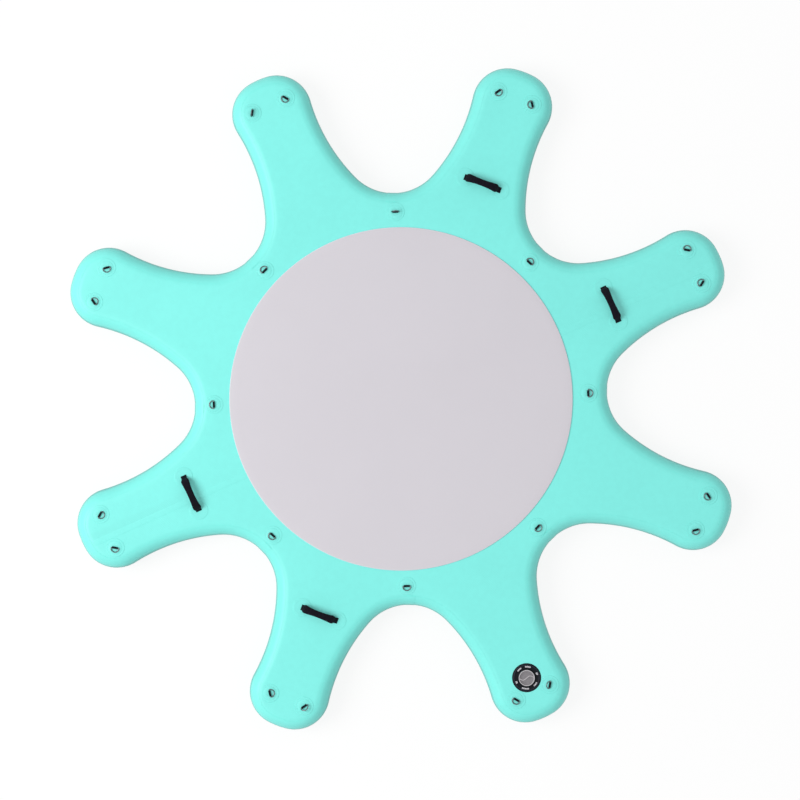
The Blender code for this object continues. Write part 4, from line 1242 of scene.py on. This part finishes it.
def make_spring(steel):
    """The wound spring under the push button."""
    low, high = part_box("valve_spring")
    centre = box_centre("valve_spring")
    radius = (high.x - low.x - SPRING_WIRE) / 2
    height = high.z - low.z
    sections = []
    for turn in spread(0, SPRING_TURNS, SPRING_TURNS * SPRING_TURN_STEPS):
        out = unit(2 * math.pi * turn).to_3d()
        rise = low.z + SPRING_WIRE / 2 + (height - SPRING_WIRE) * turn / SPRING_TURNS
        middle = Vector((centre.x, centre.y, rise)) + out * radius
        sections.append(wire_section(middle, out, SPRING_WIRE, SPRING_SIDES))
    spring = new_piece("valve_spring_coil", loft(sections), steel,
                       replaced=("valve_spring",))
    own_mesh(spring)


def seen_rays(tree):
    """1 for camera, glossy and transmission rays, and 0 for the rest."""
    path = tree.nodes.new("ShaderNodeLightPath")
    total = path.outputs["Is Camera Ray"]
    for other in ("Is Glossy Ray", "Is Transmission Ray"):
        larger = tree.nodes.new("ShaderNodeMath")
        larger.operation = "MAXIMUM"
        tree.links.new(total, larger.inputs[0])
        tree.links.new(path.outputs[other], larger.inputs[1])
        total = larger.outputs[0]
    return total


def make_stage():
    """A white floor that keeps a faint shadow near the object, and a pale world."""
    bpy.ops.mesh.primitive_plane_add(size=FLOOR_SIZE, location=(0, 0, -0.0006))
    floor = bpy.context.object
    floor.name = "studio_floor"
    nodes = Nodes("white_floor", (FLOOR_GREY,) * 3, 0.9, 0.1)
    tree = nodes.tree
    away = nodes.add("ShaderNodeVectorMath", {"Vector": nodes.place}, operation="LENGTH")
    away = away.outputs["Value"]
    glow = nodes.span(away, *FLOOR_DISTANCES, *FLOOR_GLOW)
    light = nodes.add("ShaderNodeEmission", {"Strength": glow})
    share = nodes.product(seen_rays(tree), nodes.span(away, *FLOOR_DISTANCES, *FLOOR_GLOW_SHARE))
    mix = nodes.add("ShaderNodeMixShader", {"Fac": share})
    tree.links.new(nodes.shader.outputs[0], mix.inputs[1])
    tree.links.new(light.outputs[0], mix.inputs[2])
    tree.links.new(mix.outputs[0], tree.nodes["Material Output"].inputs["Surface"])
    floor.data.materials.append(nodes.material)

    world = bpy.data.worlds.new("studio")
    bpy.context.scene.world = world
    world.use_nodes = True
    tree = world.node_tree
    background = tree.nodes["Background"]
    background.inputs["Color"].default_value = (1, 1, 1, 1)
    level = tree.nodes.new("ShaderNodeMapRange")
    level.inputs["To Min"].default_value = WORLD_LEVEL
    level.inputs["To Max"].default_value = 1.0
    tree.links.new(seen_rays(tree), level.inputs["Value"])
    tree.links.new(level.outputs[0], background.inputs["Strength"])


def make_lamp():
    """One large soft lamp from the photograph's left, aimed at the star's centre."""
    light = bpy.data.lights.new("key_light", "AREA")
    light.shape = "DISK"
    light.size = LAMP_SIZE
    light.energy = LAMP_POWER
    lamp = linked("key_light", light)
    lamp.location = LAMP_PLACE
    lamp.rotation_mode = "QUATERNION"
    lamp.rotation_quaternion = (-Vector(LAMP_PLACE)).to_track_quat("-Z", "Y")


def make_camera():
    """Straight above, turned and shifted so that the star lies as it does in the photograph."""
    data = bpy.data.cameras.new("camera")
    camera = linked("camera", data)
    off_x = (IMAGE_PIXELS / 2 - CENTRE_PIXEL[0]) * METRES_PER_PIXEL
    off_y = (CENTRE_PIXEL[1] - IMAGE_PIXELS / 2) * METRES_PER_PIXEL
    turn = Matrix.Rotation(-OBJECT_TURN, 4, "Z")
    camera.matrix_world = turn @ Matrix.Translation((off_x, off_y, CAMERA_HEIGHT))
    seen_width = IMAGE_PIXELS * METRES_PER_PIXEL
    data.lens = data.sensor_width * (CAMERA_HEIGHT - OUTLINE_HEIGHT) / seen_width
    bpy.context.scene.camera = camera
    bpy.context.scene.view_settings.view_transform = "Standard"


def main():
    make_camera()
    make_stage()
    make_lamp()
    bands = skin_material("turquoise_bands", False)
    fabric = patch_material()
    webbing = webbing_material()
    steel = steel_material()
    rubber = plastic_material("black_moulded_rubber", RUBBER_BLACK, 0.40, 0.55, 0.14)
    grey = plastic_material("grey_moulded_plastic", CAP_GREY, 0.22, 0.34)
    body = make_body(skin_material("turquoise_panels", True))
    surface = surface_of(body)
    make_bands(bands)
    make_seam_tapes(bands, surface)
    make_rings(steel, webbing, fabric, surface)
    make_handles(webbing, grip_material(), thread_material(), fabric, surface)
    make_pad(foam_material())
    make_surround(plastic_material("white_print", PRINT_WHITE, 0.5, 0.6))
    make_cap(grey, plastic_material("light_grey_moulded_plastic", CAP_LIGHT_GREY, 0.20, 0.32))
    make_leash(rubber)
    make_valve_inside(grey, plastic_material("white_moulded_plastic", STEM_WHITE), rubber)
    make_spring(steel)


main()
